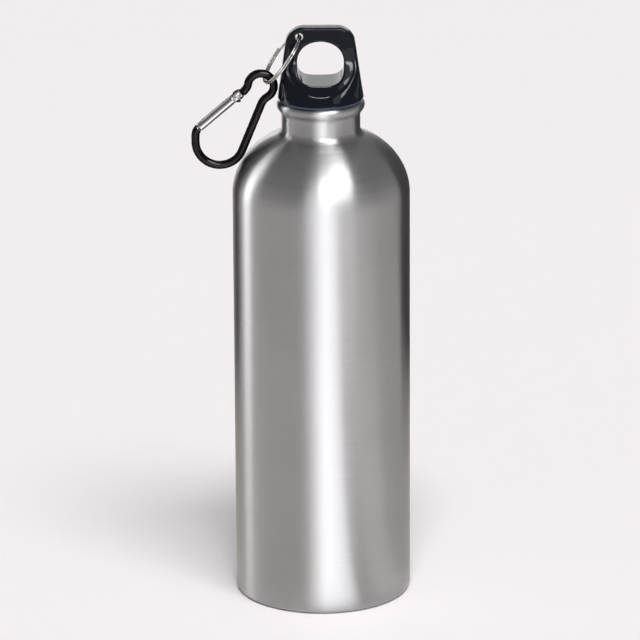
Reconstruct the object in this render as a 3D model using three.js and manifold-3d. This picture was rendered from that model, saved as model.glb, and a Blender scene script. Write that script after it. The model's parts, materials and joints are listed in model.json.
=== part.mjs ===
import * as THREE from 'three';
import { mergeVertices } from 'three/addons/utils/BufferGeometryUtils.js';
import Module from 'manifold-3d';

// Aluminium drinking bottle with a loop cap, a split ring and a snap hook.
// Millimetres, +Z up, origin at the centre of the plane that the bottle stands on.

// Bottle shell
const BODY_R = 36.5;
const WALL = 0.8;
const BASE_EDGE_R = 2.0;
const BASE_PANEL_R = 25.5;
const BASE_PANEL_Z = 1.2;
const BASE_THICKNESS = 1.4;
const SHOULDER_Z = 172.35;
const SHOULDER_RX = 31.42;
const SHOULDER_RZ = 27.44;
const NECK_R = 16.16;
const NECK_FILLET_R = 3.4;
const LIP_FLARE_Z = 205.4;
const LIP_R = 18.05;
const LIP_WIDEST_Z = 210.2;
const LIP_TOP_Z = 211.75;
const LIP_TOP_R = 16.57;
const LATHE_SEGMENTS = 48;

// Neck insert, seal and plug
const INSERT_BORE_R = 13.7;
const INSERT_BOTTOM_Z = 199.8;
const PLUG_R = 13.35;
const PLUG_BORE_R = 11.2;
const PLUG_BOTTOM_Z = 200.6;
const PLUG_ROOF = 1.3;
const SEAL_INNER_R = 13.6;
const SEAL_OUTER_R = 16.7;
const SEAT_GAP = 0.05;

// Loop cap
const CAP_BOTTOM_Z = 212.95;
const CAP_RIM_Z = 213.7;
const CAP_TOP_Z = 242.8;
const CAP_BASE_R = 17.55;
const CAP_NECK_HX = 14.25;
const CAP_CORNER_R = 6.5;
const CAP_TAB_HY = 3.0;
const CAP_TAB_Z = 235.0;
const CAP_SWEEP_POWER = 1.85;
const CAP_EDGE_R = 1.15;
const CAP_SOCKET_R = 16.8;
const CAP_SOCKET_Z = 213.3;
const HOLE_Z = 228.2;
const HOLE_HX = 9.55;
const HOLE_RISE = 8.55;
const HOLE_DROP = 8.45;
const ARCH_POWER = 2.1;
const FLOOR_POWER = 3.2;
const DISH_Z = 226.4;
const DISH_HX = 13.2;
const DISH_HZ = 10.1;
const DISH_DEPTH = 0.9;
const DISH_FADE_Z = 219.0;
const DISH_END_Z = 228.0;
const RING_HOLE_R = 1.65;
const RING_HOLE_X = -8.6;
const RING_HOLE_Z = 238.8;
const RING_HOLE_SINK = 0.6;

// Split ring: flat wire, wound in less than two turns
const RING_R = 11.9;
const RING_WIRE_AXIAL = 0.65;
const RING_WIRE_RADIAL = 1.1;
const RING_GAP = 0.2;
const RING_TURNS = 1.75;
const RING_STEPS_PER_TURN = 24;
const RING_SET = 0.15;
const RING_LEAN = THREE.MathUtils.degToRad(234.4);
const RING_TILT = THREE.MathUtils.degToRad(4.4);

// Snap hook
const ROD_R = 1.7;
const ROD_SIDES = 10;
const BOW_X = -41.5;
const BOW_Z = 194.0;
const BOW_R = 9.9;
const SPINE_LEAN = THREE.MathUtils.degToRad(22.2);
const SPINE_TOP_Z = 209.8;
const EYE_X = -24.4;
const EYE_Z = 217.6;
const EYE_R = 5.3;
const EYE_START = THREE.MathUtils.degToRad(-58);
const EYE_END = THREE.MathUtils.degToRad(172);
const PIVOT_X = -34.1;
const PIVOT_Z = 213.6;
const EAR_HALF_WIDTH = 2.1;
const EAR_HALF_THICKNESS = 0.6;
const EAR_SHOULDER = 2.8;
const ARM_RISE = THREE.MathUtils.degToRad(34);
const EAR_HOLE_R = 0.8;

// Gate, rivet, plunger and spring, measured from the pivot along the gate
const GATE_SLOPE = THREE.MathUtils.degToRad(40.5);
const GATE_R = 1.85;
const GATE_LENGTH = 20.4;
const GATE_FLAT_Y = 1.5;
const GATE_FLAT_LENGTH = 2.1;
const FORK_HALF_GAP = 0.9;
const FORK_DEPTH = 3.1;
const FORK_END = 2.0;
const GATE_BORE_R = 1.05;
const GATE_BORE_END = 14.2;
const CAM_R = 2.1;
const CAM_RISE_PER_RAD = 0.86;
const CAM_SPAN = THREE.MathUtils.degToRad(48);
const NOSE_GAP = 0.5;
const TONGUE_START = 18.5;
const TONGUE_HALF_THICKNESS = 0.45;
const TONGUE_INNER = 0.35;
const TONGUE_OUTER = 0.85;
const SLOT_CLEARANCE = 0.35;
const RIVET_SHAFT_R = 0.62;
const RIVET_HEAD_R = 1.45;
const RIVET_HEAD_HEIGHT = 0.5;
const PLUNGER_R = 0.8;
const PLUNGER_TIP = 2.55;
const PLUNGER_LENGTH = 3.5;
const SPRING_R = 0.6;
const SPRING_WIRE_R = 0.175;
const SPRING_CURLS = 8;
const SPRING_PITCH = 0.88;
const SPRING_START = 6.5;

const wasm = await Module();
wasm.setup();

// Reduces a geometry to merged positions and outward triangles.
function tidy(geometry) {
  const bare = new THREE.BufferGeometry();
  bare.setAttribute('position', geometry.getAttribute('position').clone());
  if (geometry.index) {
    bare.setIndex(Array.from(geometry.index.array));
  }
  const merged = mergeVertices(bare, 1e-4);
  const source = merged.index.array;
  const position = merged.getAttribute('position');
  const kept = [];
  let volume = 0;
  const a = new THREE.Vector3();
  const b = new THREE.Vector3();
  const c = new THREE.Vector3();
  for (let i = 0; i < source.length; i += 3) {
    const [p, q, r] = [source[i], source[i + 1], source[i + 2]];
    if (p === q || q === r || r === p) {
      continue;
    }
    kept.push(p, q, r);
    a.fromBufferAttribute(position, p);
    b.fromBufferAttribute(position, q);
    c.fromBufferAttribute(position, r);
    volume += a.dot(b.cross(c));
  }
  if (volume < 0) {
    for (let i = 0; i < kept.length; i += 3) {
      [kept[i], kept[i + 1]] = [kept[i + 1], kept[i]];
    }
  }
  merged.setIndex(kept);
  return merged;
}

function toSolid(geometry) {
  const clean = tidy(geometry);
  const mesh = new wasm.Mesh({
    numProp: 3,
    vertProperties: new Float32Array(clean.getAttribute('position').array),
    triVerts: new Uint32Array(clean.index.array),
  });
  return new wasm.Manifold(mesh);
}

function toGeometry(solid) {
  const mesh = solid.getMesh();
  const geometry = new THREE.BufferGeometry();
  geometry.setAttribute('position', new THREE.BufferAttribute(mesh.vertProperties, 3));
  geometry.setIndex(Array.from(mesh.triVerts));
  return tidy(geometry);
}

// Revolves an (r, z) profile about the Z axis.
function revolve(profile, segments = LATHE_SEGMENTS) {
  const points = profile.map(([r, z]) => new THREE.Vector2(r, z));
  return tidy(new THREE.LatheGeometry(points, segments).rotateX(Math.PI / 2));
}

// Points of an elliptic arc from angle t0 to t1, both ends included.
function arc(cx, cz, rx, rz, t0, t1, steps) {
  return Array.from({ length: steps + 1 }, (_, i) => {
    const t = t0 + ((t1 - t0) * i) / steps;
    return [cx + rx * Math.cos(t), cz + rz * Math.sin(t)];
  });
}

// Joins rings of equal point counts into one closed skin with flat ends.
function loft(rings) {
  const count = rings[0].length;
  const positions = rings.flat().flatMap((p) => [p.x, p.y, p.z]);
  const index = [];
  for (let k = 0; k < rings.length - 1; k += 1) {
    for (let i = 0; i < count; i += 1) {
      const p = k * count + i;
      const q = k * count + ((i + 1) % count);
      index.push(p, q, p + count, q, q + count, p + count);
    }
  }
  [0, rings.length - 1].forEach((k, end) => {
    const centre = new THREE.Vector3();
    rings[k].forEach((p) => centre.addScaledVector(p, 1 / count));
    const hub = positions.length / 3;
    positions.push(centre.x, centre.y, centre.z);
    for (let i = 0; i < count; i += 1) {
      const p = k * count + i;
      const q = k * count + ((i + 1) % count);
      index.push(...(end ? [p, q, hub] : [q, p, hub]));
    }
  });
  const geometry = new THREE.BufferGeometry();
  geometry.setAttribute('position', new THREE.Float32BufferAttribute(positions, 3));
  geometry.setIndex(index);
  return tidy(geometry);
}

// A plate with its outline in X and Z and its thickness along Y.
function plate(outline, halfThickness, curveSegments = 8) {
  const geometry = new THREE.ExtrudeGeometry(outline, {
    depth: 2 * halfThickness,
    bevelEnabled: false,
    curveSegments,
  });
  geometry.rotateX(Math.PI / 2);
  return geometry.translate(0, halfThickness, 0);
}

function box(x0, x1, y0, y1, z0, z1) {
  const geometry = new THREE.BoxGeometry(x1 - x0, y1 - y0, z1 - z0);
  return geometry.translate((x0 + x1) / 2, (y0 + y1) / 2, (z0 + z1) / 2);
}

// A round bar along Y, or along X when lengthwise is set.
function bar(radius, from, to, lengthwise, sides = 16) {
  const geometry = new THREE.CylinderGeometry(radius, radius, to - from, sides);
  geometry.translate(0, (from + to) / 2, 0);
  return lengthwise ? geometry.rotateZ(-Math.PI / 2) : geometry;
}

function smooth(edge0, edge1, value) {
  return THREE.MathUtils.smoothstep(value, edge0, edge1);
}

// Least distance between the skins of a wound tube's turns, from points of its centre line.
function windingGap(points, pointsPerTurn, size) {
  let least = Infinity;
  points.forEach((p, i) => {
    for (let j = i + Math.ceil(pointsPerTurn * 0.6); j < points.length; j += 1) {
      least = Math.min(least, p.distanceTo(points[j]));
    }
  });
  return least - size;
}

// Shell: base panel, standing ring, wall, elliptic shoulder, neck and rolled lip.
function bottleBody() {
  const centreR = BODY_R - SHOULDER_RX;
  // The neck fillet touches the shoulder where the shoulder's normal reaches the fillet's centre.
  function shoulderTouch(rx, rz, neckR, filletR) {
    let low = 0.3;
    let high = 1.5;
    for (let i = 0; i < 40; i += 1) {
      const t = (low + high) / 2;
      const normal = new THREE.Vector2(Math.cos(t) / rx, Math.sin(t) / rz).normalize();
      const r = centreR + rx * Math.cos(t) + filletR * normal.x;
      if (r > neckR + filletR) {
        low = t;
      } else {
        high = t;
      }
    }
    const normal = new THREE.Vector2(Math.cos(low) / rx, Math.sin(low) / rz).normalize();
    const z = SHOULDER_Z + rz * Math.sin(low) + filletR * normal.y;
    return { t: low, z, turn: Math.PI + Math.atan2(normal.y, normal.x) };
  }
  const flareR = ((LIP_R - NECK_R) ** 2 + (LIP_WIDEST_Z - LIP_FLARE_Z) ** 2) / (4 * (LIP_R - NECK_R));
  const flareTurn = Math.asin((LIP_WIDEST_Z - LIP_FLARE_Z) / 2 / flareR);
  const outer = shoulderTouch(SHOULDER_RX, SHOULDER_RZ, NECK_R, NECK_FILLET_R);
  const inRx = SHOULDER_RX - WALL;
  const inRz = SHOULDER_RZ - WALL;
  const inNeckR = NECK_R - WALL;
  const inFilletR = NECK_FILLET_R + WALL;
  const inner = shoulderTouch(inRx, inRz, inNeckR, inFilletR);
  const floorZ = BASE_PANEL_Z + BASE_THICKNESS;
  const profile = [
    [0, BASE_PANEL_Z],
    [BASE_PANEL_R, BASE_PANEL_Z],
    [BASE_PANEL_R + 1.8, 0],
    ...arc(BODY_R - BASE_EDGE_R, BASE_EDGE_R, BASE_EDGE_R, BASE_EDGE_R, -Math.PI / 2, 0, 4),
    ...arc(centreR, SHOULDER_Z, SHOULDER_RX, SHOULDER_RZ, 0, outer.t, 10),
    ...arc(NECK_R + NECK_FILLET_R, outer.z, NECK_FILLET_R, NECK_FILLET_R, outer.turn, Math.PI, 4).slice(1),
    ...arc(NECK_R + flareR, LIP_FLARE_Z, flareR, flareR, Math.PI, Math.PI - flareTurn, 3),
    ...arc(LIP_R - flareR, LIP_WIDEST_Z, flareR, flareR, -flareTurn, 0, 3).slice(1),
    ...arc(LIP_TOP_R, LIP_WIDEST_Z, LIP_R - LIP_TOP_R, LIP_TOP_Z - LIP_WIDEST_Z, 0, Math.PI / 2, 4).slice(1),
    [inNeckR, LIP_TOP_Z],
    ...arc(inNeckR + inFilletR, inner.z, inFilletR, inFilletR, Math.PI, inner.turn, 3),
    ...arc(centreR, SHOULDER_Z, inRx, inRz, inner.t, 0, 8).slice(1),
    [BODY_R - WALL, floorZ + 2],
    [BODY_R - WALL - 2, floorZ],
    [0, floorZ],
  ];
  return revolve(profile);
}

function neckInsert() {
  const outerR = NECK_R - WALL - SEAT_GAP;
  return revolve([
    [INSERT_BORE_R, INSERT_BOTTOM_Z + 0.8],
    [INSERT_BORE_R + 0.8, INSERT_BOTTOM_Z],
    [outerR, INSERT_BOTTOM_Z],
    [outerR, LIP_TOP_Z - 0.3],
    [INSERT_BORE_R + 0.6, LIP_TOP_Z - 0.3],
    [INSERT_BORE_R, LIP_TOP_Z - 0.9],
    [INSERT_BORE_R, INSERT_BOTTOM_Z + 0.8],
  ]);
}

function sealingRing() {
  const z0 = LIP_TOP_Z + SEAT_GAP;
  const z1 = CAP_SOCKET_Z - SEAT_GAP;
  const round = 0.3;
  return revolve([
    [SEAL_INNER_R, z0],
    [SEAL_OUTER_R - round, z0],
    [SEAL_OUTER_R, z0 + round],
    [SEAL_OUTER_R, z1 - round],
    [SEAL_OUTER_R - round, z1],
    [SEAL_INNER_R, z1],
    [SEAL_INNER_R, z0],
  ]);
}

function threadPlug() {
  const topZ = CAP_SOCKET_Z - SEAT_GAP;
  return revolve([
    [0, topZ],
    [PLUG_R, topZ],
    [PLUG_R, PLUG_BOTTOM_Z + 0.9],
    [PLUG_R - 0.9, PLUG_BOTTOM_Z],
    [PLUG_BORE_R, PLUG_BOTTOM_Z],
    [PLUG_BORE_R, topZ - PLUG_ROOF],
    [0, topZ - PLUG_ROOF],
  ]);
}

// Half width of the cap at height z: a straight taper that ends in round upper corners.
function capHalfWidth(z) {
  const cornerZ = CAP_TOP_Z - CAP_CORNER_R;
  if (z > cornerZ) {
    const rise = Math.min(z - cornerZ, CAP_CORNER_R);
    return CAP_NECK_HX - CAP_CORNER_R + Math.sqrt(CAP_CORNER_R ** 2 - rise ** 2);
  }
  const share = THREE.MathUtils.clamp((z - CAP_RIM_Z) / (cornerZ - CAP_RIM_Z), 0, 1);
  return THREE.MathUtils.lerp(CAP_BASE_R, CAP_NECK_HX, share);
}

// Half depth of the cap at height z: a concave sweep from the round rim to the flat tab.
function capHalfDepth(z) {
  const share = THREE.MathUtils.clamp((z - CAP_RIM_Z) / (CAP_TAB_Z - CAP_RIM_Z), 0, 1);
  const sweep = CAP_TAB_HY + (CAP_BASE_R - CAP_TAB_HY) * (1 - share) ** CAP_SWEEP_POWER;
  const rise = Math.max(0, z - (CAP_TOP_Z - CAP_EDGE_R));
  return sweep - CAP_EDGE_R + Math.sqrt(CAP_EDGE_R ** 2 - Math.min(rise, CAP_EDGE_R) ** 2);
}

// One level ring of the cap: round at the rim, squarer towards the tab.
function capRing(z, inset) {
  const hx = capHalfWidth(z) + (inset < 0 ? -inset : 0);
  const hy = Math.max(0.5, capHalfDepth(z) - inset);
  const power = 2 + 5 * smooth(CAP_RIM_Z, 231, z);
  return Array.from({ length: 44 }, (_, i) => {
    const t = (2 * Math.PI * (i + 0.5)) / 44;
    const c = Math.cos(t);
    const s = Math.sin(t);
    const x = hx * Math.sign(c) * Math.abs(c) ** (2 / power);
    const y = hy * Math.sign(s) * Math.abs(s) ** (2 / power);
    return new THREE.Vector3(x, y, z);
  });
}

// Loop cap: swept body, dish round the lower half of the finger hole, and both holes.
// The finger hole has a round arch above and a nearly flat floor below.
function capMoulding() {
  const cornerZ = CAP_TOP_Z - CAP_CORNER_R;
  const heights = [
    CAP_BOTTOM_Z,
    ...Array.from({ length: 10 }, (_, i) => THREE.MathUtils.lerp(CAP_RIM_Z, cornerZ, (i / 10) ** 1.2)),
    ...Array.from({ length: 8 }, (_, i) => cornerZ + CAP_CORNER_R * Math.sin((i * Math.PI) / 14)),
  ];
  const body = toSolid(loft(heights.map((z) => capRing(z, 0))));
  const dishInset = (z) => THREE.MathUtils.lerp(DISH_DEPTH, -0.4, smooth(DISH_FADE_Z, DISH_END_Z, z));
  const core = toSolid(loft(heights.map((z) => capRing(z, dishInset(z)))));
  const dishDisc = new THREE.Shape().absellipse(0, DISH_Z, DISH_HX, DISH_HZ, 0, 2 * Math.PI);
  const dish = toSolid(plate(dishDisc, 20, 20)).subtract(core);
  const holePoints = Array.from({ length: 40 }, (_, i) => {
    const t = (2 * Math.PI * i) / 40;
    const c = Math.cos(t);
    const s = Math.sin(t);
    const power = s > 0 ? ARCH_POWER : FLOOR_POWER;
    const x = HOLE_HX * Math.sign(c) * Math.abs(c) ** (2 / power);
    const reach = Math.abs(s) ** (2 / power);
    return new THREE.Vector2(x, HOLE_Z + (s > 0 ? HOLE_RISE * reach : -HOLE_DROP * reach));
  });
  const fingerHole = toSolid(plate(new THREE.Shape(holePoints), 20));
  // The ring hole opens out at both faces of the tab.
  const mouth = CAP_TAB_HY - RING_HOLE_SINK;
  const ringHole = new THREE.LatheGeometry(
    [
      [0, -6],
      [RING_HOLE_R + 0.6 + (6 - CAP_TAB_HY), -6],
      [RING_HOLE_R, -mouth],
      [RING_HOLE_R, mouth],
      [RING_HOLE_R + 0.6 + (6 - CAP_TAB_HY), 6],
      [0, 6],
    ].map(([r, y]) => new THREE.Vector2(r, y)),
    16,
  ).translate(RING_HOLE_X, 0, RING_HOLE_Z);
  const socket = revolve([
    [0, CAP_BOTTOM_Z - 1],
    [CAP_SOCKET_R, CAP_BOTTOM_Z - 1],
    [CAP_SOCKET_R, CAP_SOCKET_Z],
    [0, CAP_SOCKET_Z],
  ]);
  return toGeometry(
    body
      .subtract(dish)
      .subtract(fingerHole)
      .subtract(toSolid(ringHole))
      .subtract(toSolid(socket)),
  );
}

// Flat-wire ring: starts in the cap's hole, runs round by the front and ends at the back.
function splitRing() {
  const out = new THREE.Vector3(Math.cos(RING_LEAN), 0, Math.sin(RING_LEAN));
  const level = new THREE.Vector3(-out.z, 0, out.x);
  const front = new THREE.Vector3(0, -Math.cos(RING_TILT), 0).addScaledVector(level, Math.sin(RING_TILT));
  const axis = new THREE.Vector3().crossVectors(front, out);
  const centre = new THREE.Vector3(RING_HOLE_X, 0, RING_HOLE_Z).addScaledVector(out, RING_R - RING_SET);
  const pitch = RING_WIRE_AXIAL + RING_GAP;
  const steps = Math.round(RING_TURNS * RING_STEPS_PER_TURN);
  const flat = 0.62;
  const section = [
    [-0.5, -0.5 * flat],
    [0, -0.5],
    [0.5, -0.5 * flat],
    [0.5, 0.5 * flat],
    [0, 0.5],
    [-0.5, 0.5 * flat],
  ];
  const spine = [];
  const rings = [];
  for (let i = 0; i <= steps; i += 1) {
    const turn = i / RING_STEPS_PER_TURN;
    const angle = 2 * Math.PI * turn;
    const radial = new THREE.Vector3();
    radial.addScaledVector(out, -Math.cos(angle));
    radial.addScaledVector(front, Math.sin(angle));
    const climb = pitch * (0.5 - turn);
    const point = centre.clone().addScaledVector(radial, RING_R).addScaledVector(axis, climb);
    spine.push(point);
    rings.push(
      section.map(([r, a]) => {
        const corner = point.clone().addScaledVector(radial, r * RING_WIRE_RADIAL);
        return corner.addScaledVector(axis, a * RING_WIRE_AXIAL);
      }),
    );
  }
  const gap = windingGap(spine, RING_STEPS_PER_TURN, RING_WIRE_AXIAL);
  console.log(`split ring: least gap between turns ${gap.toFixed(3)} mm`);
  return loft(rings);
}

// Place on the hook's plane at a distance along the gate and a distance outwards from it.
function onGate(along, outward) {
  return new THREE.Vector2(
    PIVOT_X - along * Math.cos(GATE_SLOPE) - outward * Math.sin(GATE_SLOPE),
    PIVOT_Z - along * Math.sin(GATE_SLOPE) + outward * Math.cos(GATE_SLOPE),
  );
}

// Hook body: bent rod from the nose to the ear, with the nose's tongue and the flat ear.
function hookBody() {
  const nose = onGate(GATE_LENGTH + NOSE_GAP, 0);
  const noseLead = onGate(GATE_LENGTH + NOSE_GAP + 2.2, 0);
  const bowStart = THREE.MathUtils.degToRad(178);
  const bowEnd = 2 * Math.PI - SPINE_LEAN;
  const spineFoot = new THREE.Vector2(Math.cos(bowEnd), Math.sin(bowEnd)).multiplyScalar(BOW_R);
  const spineLength = (SPINE_TOP_Z - BOW_Z - spineFoot.y) / Math.cos(SPINE_LEAN);
  const spineDir = new THREE.Vector2(Math.sin(SPINE_LEAN), Math.cos(SPINE_LEAN));
  const spineTop = new THREE.Vector2(BOW_X, BOW_Z).add(spineFoot).addScaledVector(spineDir, spineLength);
  const eyeIn = new THREE.Vector2(Math.cos(EYE_START), Math.sin(EYE_START));
  const eyeInDir = new THREE.Vector2(-eyeIn.y, eyeIn.x);
  eyeIn.multiplyScalar(EYE_R).add(new THREE.Vector2(EYE_X, EYE_Z));
  const kinkA = spineTop.clone().addScaledVector(spineDir, 1.6);
  const kinkB = eyeIn.clone().addScaledVector(eyeInDir, -1.6);
  const pivot = new THREE.Vector2(PIVOT_X, PIVOT_Z);
  const eyeOut = new THREE.Vector2(Math.cos(EYE_END), Math.sin(EYE_END));
  const eyeOutDir = new THREE.Vector2(-eyeOut.y, eyeOut.x);
  eyeOut.multiplyScalar(EYE_R).add(new THREE.Vector2(EYE_X, EYE_Z));
  const armDir = new THREE.Vector2(Math.cos(ARM_RISE), Math.sin(ARM_RISE));
  const armEnd = pivot.clone().addScaledVector(armDir, EAR_SHOULDER);
  const bendA = eyeOut.clone().addScaledVector(eyeOutDir, 1.3);
  const bendB = armEnd.clone().addScaledVector(armDir, 0.8);

  const line = new THREE.Path();
  line.moveTo(nose.x, nose.y);
  line.bezierCurveTo(
    noseLead.x,
    noseLead.y,
    BOW_X + BOW_R * Math.cos(bowStart),
    BOW_Z + BOW_R * Math.sin(bowStart) + 1.8,
    BOW_X + BOW_R * Math.cos(bowStart),
    BOW_Z + BOW_R * Math.sin(bowStart),
  );
  line.absarc(BOW_X, BOW_Z, BOW_R, bowStart, bowEnd);
  line.lineTo(spineTop.x, spineTop.y);
  line.bezierCurveTo(kinkA.x, kinkA.y, kinkB.x, kinkB.y, eyeIn.x, eyeIn.y);
  line.absarc(EYE_X, EYE_Z, EYE_R, EYE_START, EYE_END);
  line.bezierCurveTo(bendA.x, bendA.y, bendB.x, bendB.y, armEnd.x, armEnd.y);
  const route = line.getSpacedPoints(96).map((p) => new THREE.Vector3(p.x, 0, p.y));
  const rod = new THREE.ExtrudeGeometry(roundSection(ROD_R, ROD_SIDES), {
    steps: 84,
    extrudePath: new THREE.CatmullRomCurve3(route),
  });

  // The ear's free edge is a cam: its radius grows from the shut gate's line towards the open one.
  const ear = new THREE.Shape();
  const shut = Math.PI + GATE_SLOPE;
  const camPoint = (angle) => {
    const rise = CAM_RISE_PER_RAD * THREE.MathUtils.clamp(angle, 0, CAM_SPAN);
    const polar = new THREE.Vector2(Math.cos(shut + angle), Math.sin(shut + angle));
    return polar.multiplyScalar(CAM_R + rise).add(pivot);
  };
  const side = new THREE.Vector2(-armDir.y, armDir.x);
  const rootA = pivot.clone().addScaledVector(armDir, 3.9).addScaledVector(side, 1.1);
  const rootB = pivot.clone().addScaledVector(armDir, 3.9).addScaledVector(side, -1.1);
  const flankA = pivot.clone().addScaledVector(armDir, 1.2).addScaledVector(side, EAR_HALF_WIDTH);
  const flankB = pivot.clone().addScaledVector(armDir, 1.2).addScaledVector(side, -EAR_HALF_WIDTH);
  ear.moveTo(rootA.x, rootA.y);
  ear.lineTo(flankA.x, flankA.y);
  for (let i = 0; i <= 10; i += 1) {
    const p = camPoint(-1.2 + ((CAM_SPAN + 1.2) * i) / 10);
    ear.lineTo(p.x, p.y);
  }
  ear.lineTo(flankB.x, flankB.y);
  ear.lineTo(rootB.x, rootB.y);
  const earPlate = plate(ear, EAR_HALF_THICKNESS);
  const earHole = bar(EAR_HOLE_R, -3, 3, false).translate(PIVOT_X, 0, PIVOT_Z);

  const tongue = new THREE.Shape([
    onGate(TONGUE_START, -TONGUE_INNER),
    onGate(GATE_LENGTH + NOSE_GAP + 1, -TONGUE_INNER),
    onGate(GATE_LENGTH + NOSE_GAP + 1, TONGUE_OUTER),
    onGate(TONGUE_START, TONGUE_OUTER),
  ]);
  return toGeometry(
    toSolid(rod)
      .add(toSolid(earPlate))
      .add(toSolid(plate(tongue, TONGUE_HALF_THICKNESS)))
      .subtract(toSolid(earHole)),
  );
}

function roundSection(radius, sides) {
  const points = Array.from({ length: sides }, (_, i) => {
    const t = (2 * Math.PI * (i + 0.5)) / sides;
    return new THREE.Vector2(radius * Math.cos(t), radius * Math.sin(t));
  });
  return new THREE.Shape(points);
}

// Gate in its own frame: pivot at the origin, length along +X, outer side towards -Z.
function gateBar() {
  const far = 4;
  const nearFlat = box(-far, GATE_FLAT_LENGTH, GATE_FLAT_Y, far, -far, far);
  const backFlat = box(-far, GATE_FLAT_LENGTH, -far, -GATE_FLAT_Y, -far, far);
  const fork = box(-far, FORK_DEPTH, -FORK_HALF_GAP, FORK_HALF_GAP, -far, far);
  const slotY = TONGUE_HALF_THICKNESS + SLOT_CLEARANCE;
  const slot = box(
    TONGUE_START - SLOT_CLEARANCE,
    GATE_LENGTH + 1,
    -slotY,
    slotY,
    -far,
    TONGUE_INNER + SLOT_CLEARANCE,
  );
  return toGeometry(
    toSolid(bar(GATE_R, -FORK_END, GATE_LENGTH, true))
      .subtract(toSolid(nearFlat))
      .subtract(toSolid(backFlat))
      .subtract(toSolid(fork))
      .subtract(toSolid(bar(EAR_HOLE_R + 0.1, -far, far, false)))
      .subtract(toSolid(bar(GATE_BORE_R, FORK_DEPTH - 1, GATE_BORE_END, true)))
      .subtract(toSolid(slot)),
  );
}

// Rivet with a spread, slightly hollow head at each end, on the Y axis.
function pivotRivet() {
  const seat = GATE_FLAT_Y + 0.15;
  const top = seat + RIVET_HEAD_HEIGHT;
  const profile = [
    [0, -top + 0.2],
    [RIVET_HEAD_R * 0.45, -top + 0.15],
    [RIVET_HEAD_R * 0.75, -top],
    [RIVET_HEAD_R, -seat - 0.2],
    [RIVET_HEAD_R, -seat],
    [RIVET_SHAFT_R, -seat],
    [RIVET_SHAFT_R, seat],
    [RIVET_HEAD_R, seat],
    [RIVET_HEAD_R, seat + 0.2],
    [RIVET_HEAD_R * 0.75, top],
    [RIVET_HEAD_R * 0.45, top - 0.15],
    [0, top - 0.2],
  ];
  return tidy(new THREE.LatheGeometry(profile.map(([r, y]) => new THREE.Vector2(r, y)), 16));
}

function springPlunger() {
  const profile = [
    [0, PLUNGER_TIP],
    [PLUNGER_R * 0.55, PLUNGER_TIP + 0.08],
    [PLUNGER_R, PLUNGER_TIP + 0.45],
    [PLUNGER_R, PLUNGER_TIP + PLUNGER_LENGTH],
    [0, PLUNGER_TIP + PLUNGER_LENGTH],
  ];
  const points = profile.map(([r, x]) => new THREE.Vector2(r, x));
  return tidy(new THREE.LatheGeometry(points, 16).rotateZ(-Math.PI / 2));
}

// Compression spring along X, one unbroken wire.
function gateSpring() {
  const stepsPerCurl = 8;
  const sides = 5;
  const spine = [];
  const rings = [];
  const rise = SPRING_PITCH / (2 * Math.PI * SPRING_R);
  const lean = Math.atan(rise);
  for (let i = 0; i <= SPRING_CURLS * stepsPerCurl; i += 1) {
    const angle = (2 * Math.PI * i) / stepsPerCurl;
    const radial = new THREE.Vector3(0, Math.cos(angle), Math.sin(angle));
    const across = new THREE.Vector3(
      Math.cos(lean),
      Math.sin(lean) * Math.sin(angle),
      -Math.sin(lean) * Math.cos(angle),
    );
    const along = SPRING_START + SPRING_WIRE_R + (SPRING_PITCH * i) / stepsPerCurl;
    const point = new THREE.Vector3(along, 0, 0).addScaledVector(radial, SPRING_R);
    spine.push(point);
    rings.push(
      Array.from({ length: sides }, (_, k) => {
        const t = (2 * Math.PI * k) / sides;
        const corner = point.clone().addScaledVector(radial, SPRING_WIRE_R * Math.cos(t));
        return corner.addScaledVector(across, SPRING_WIRE_R * Math.sin(t));
      }),
    );
  }
  const gap = windingGap(spine, stepsPerCurl, 2 * SPRING_WIRE_R);
  console.log(`gate spring: least gap between curls ${gap.toFixed(3)} mm`);
  return loft(rings);
}

function piece(name, geometry, color, roughness, metalness) {
  const material = new THREE.MeshStandardMaterial({ color, roughness, metalness });
  geometry.computeVertexNormals();
  const mesh = new THREE.Mesh(geometry, material);
  mesh.name = name;
  return mesh;
}

const bottle = new THREE.Group();
bottle.add(
  piece('bottle_body', bottleBody(), 0xb9babb, 0.32, 1.0),
  piece('neck_thread_insert', neckInsert(), 0xe6e6e2, 0.5, 0.0),
  piece('sealing_ring', sealingRing(), 0x3c5573, 0.6, 0.0),
  piece('cap_moulding', capMoulding(), 0x19191c, 0.18, 0.0),
  piece('thread_plug', threadPlug(), 0x1c1c1f, 0.4, 0.0),
  piece('split_ring', splitRing(), 0xc9c9c7, 0.2, 1.0),
  piece('carabiner_body', hookBody(), 0x1a1a1b, 0.28, 0.6),
);

const gate = new THREE.Group();
gate.position.set(PIVOT_X, 0, PIVOT_Z);
gate.rotation.y = Math.PI - GATE_SLOPE;
gate.add(
  piece('carabiner_gate', gateBar(), 0xc4c5c7, 0.25, 1.0),
  piece('gate_pivot_rivet', pivotRivet(), 0xd2d3d4, 0.22, 1.0),
  piece('spring_plunger', springPlunger(), 0xb5b6b6, 0.3, 1.0),
  piece('gate_spring', gateSpring(), 0xa9aaab, 0.3, 1.0),
);
bottle.add(gate);

export default bottle;
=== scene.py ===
import json
import math

import bpy
import numpy as np
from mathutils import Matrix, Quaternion, Vector


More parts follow.
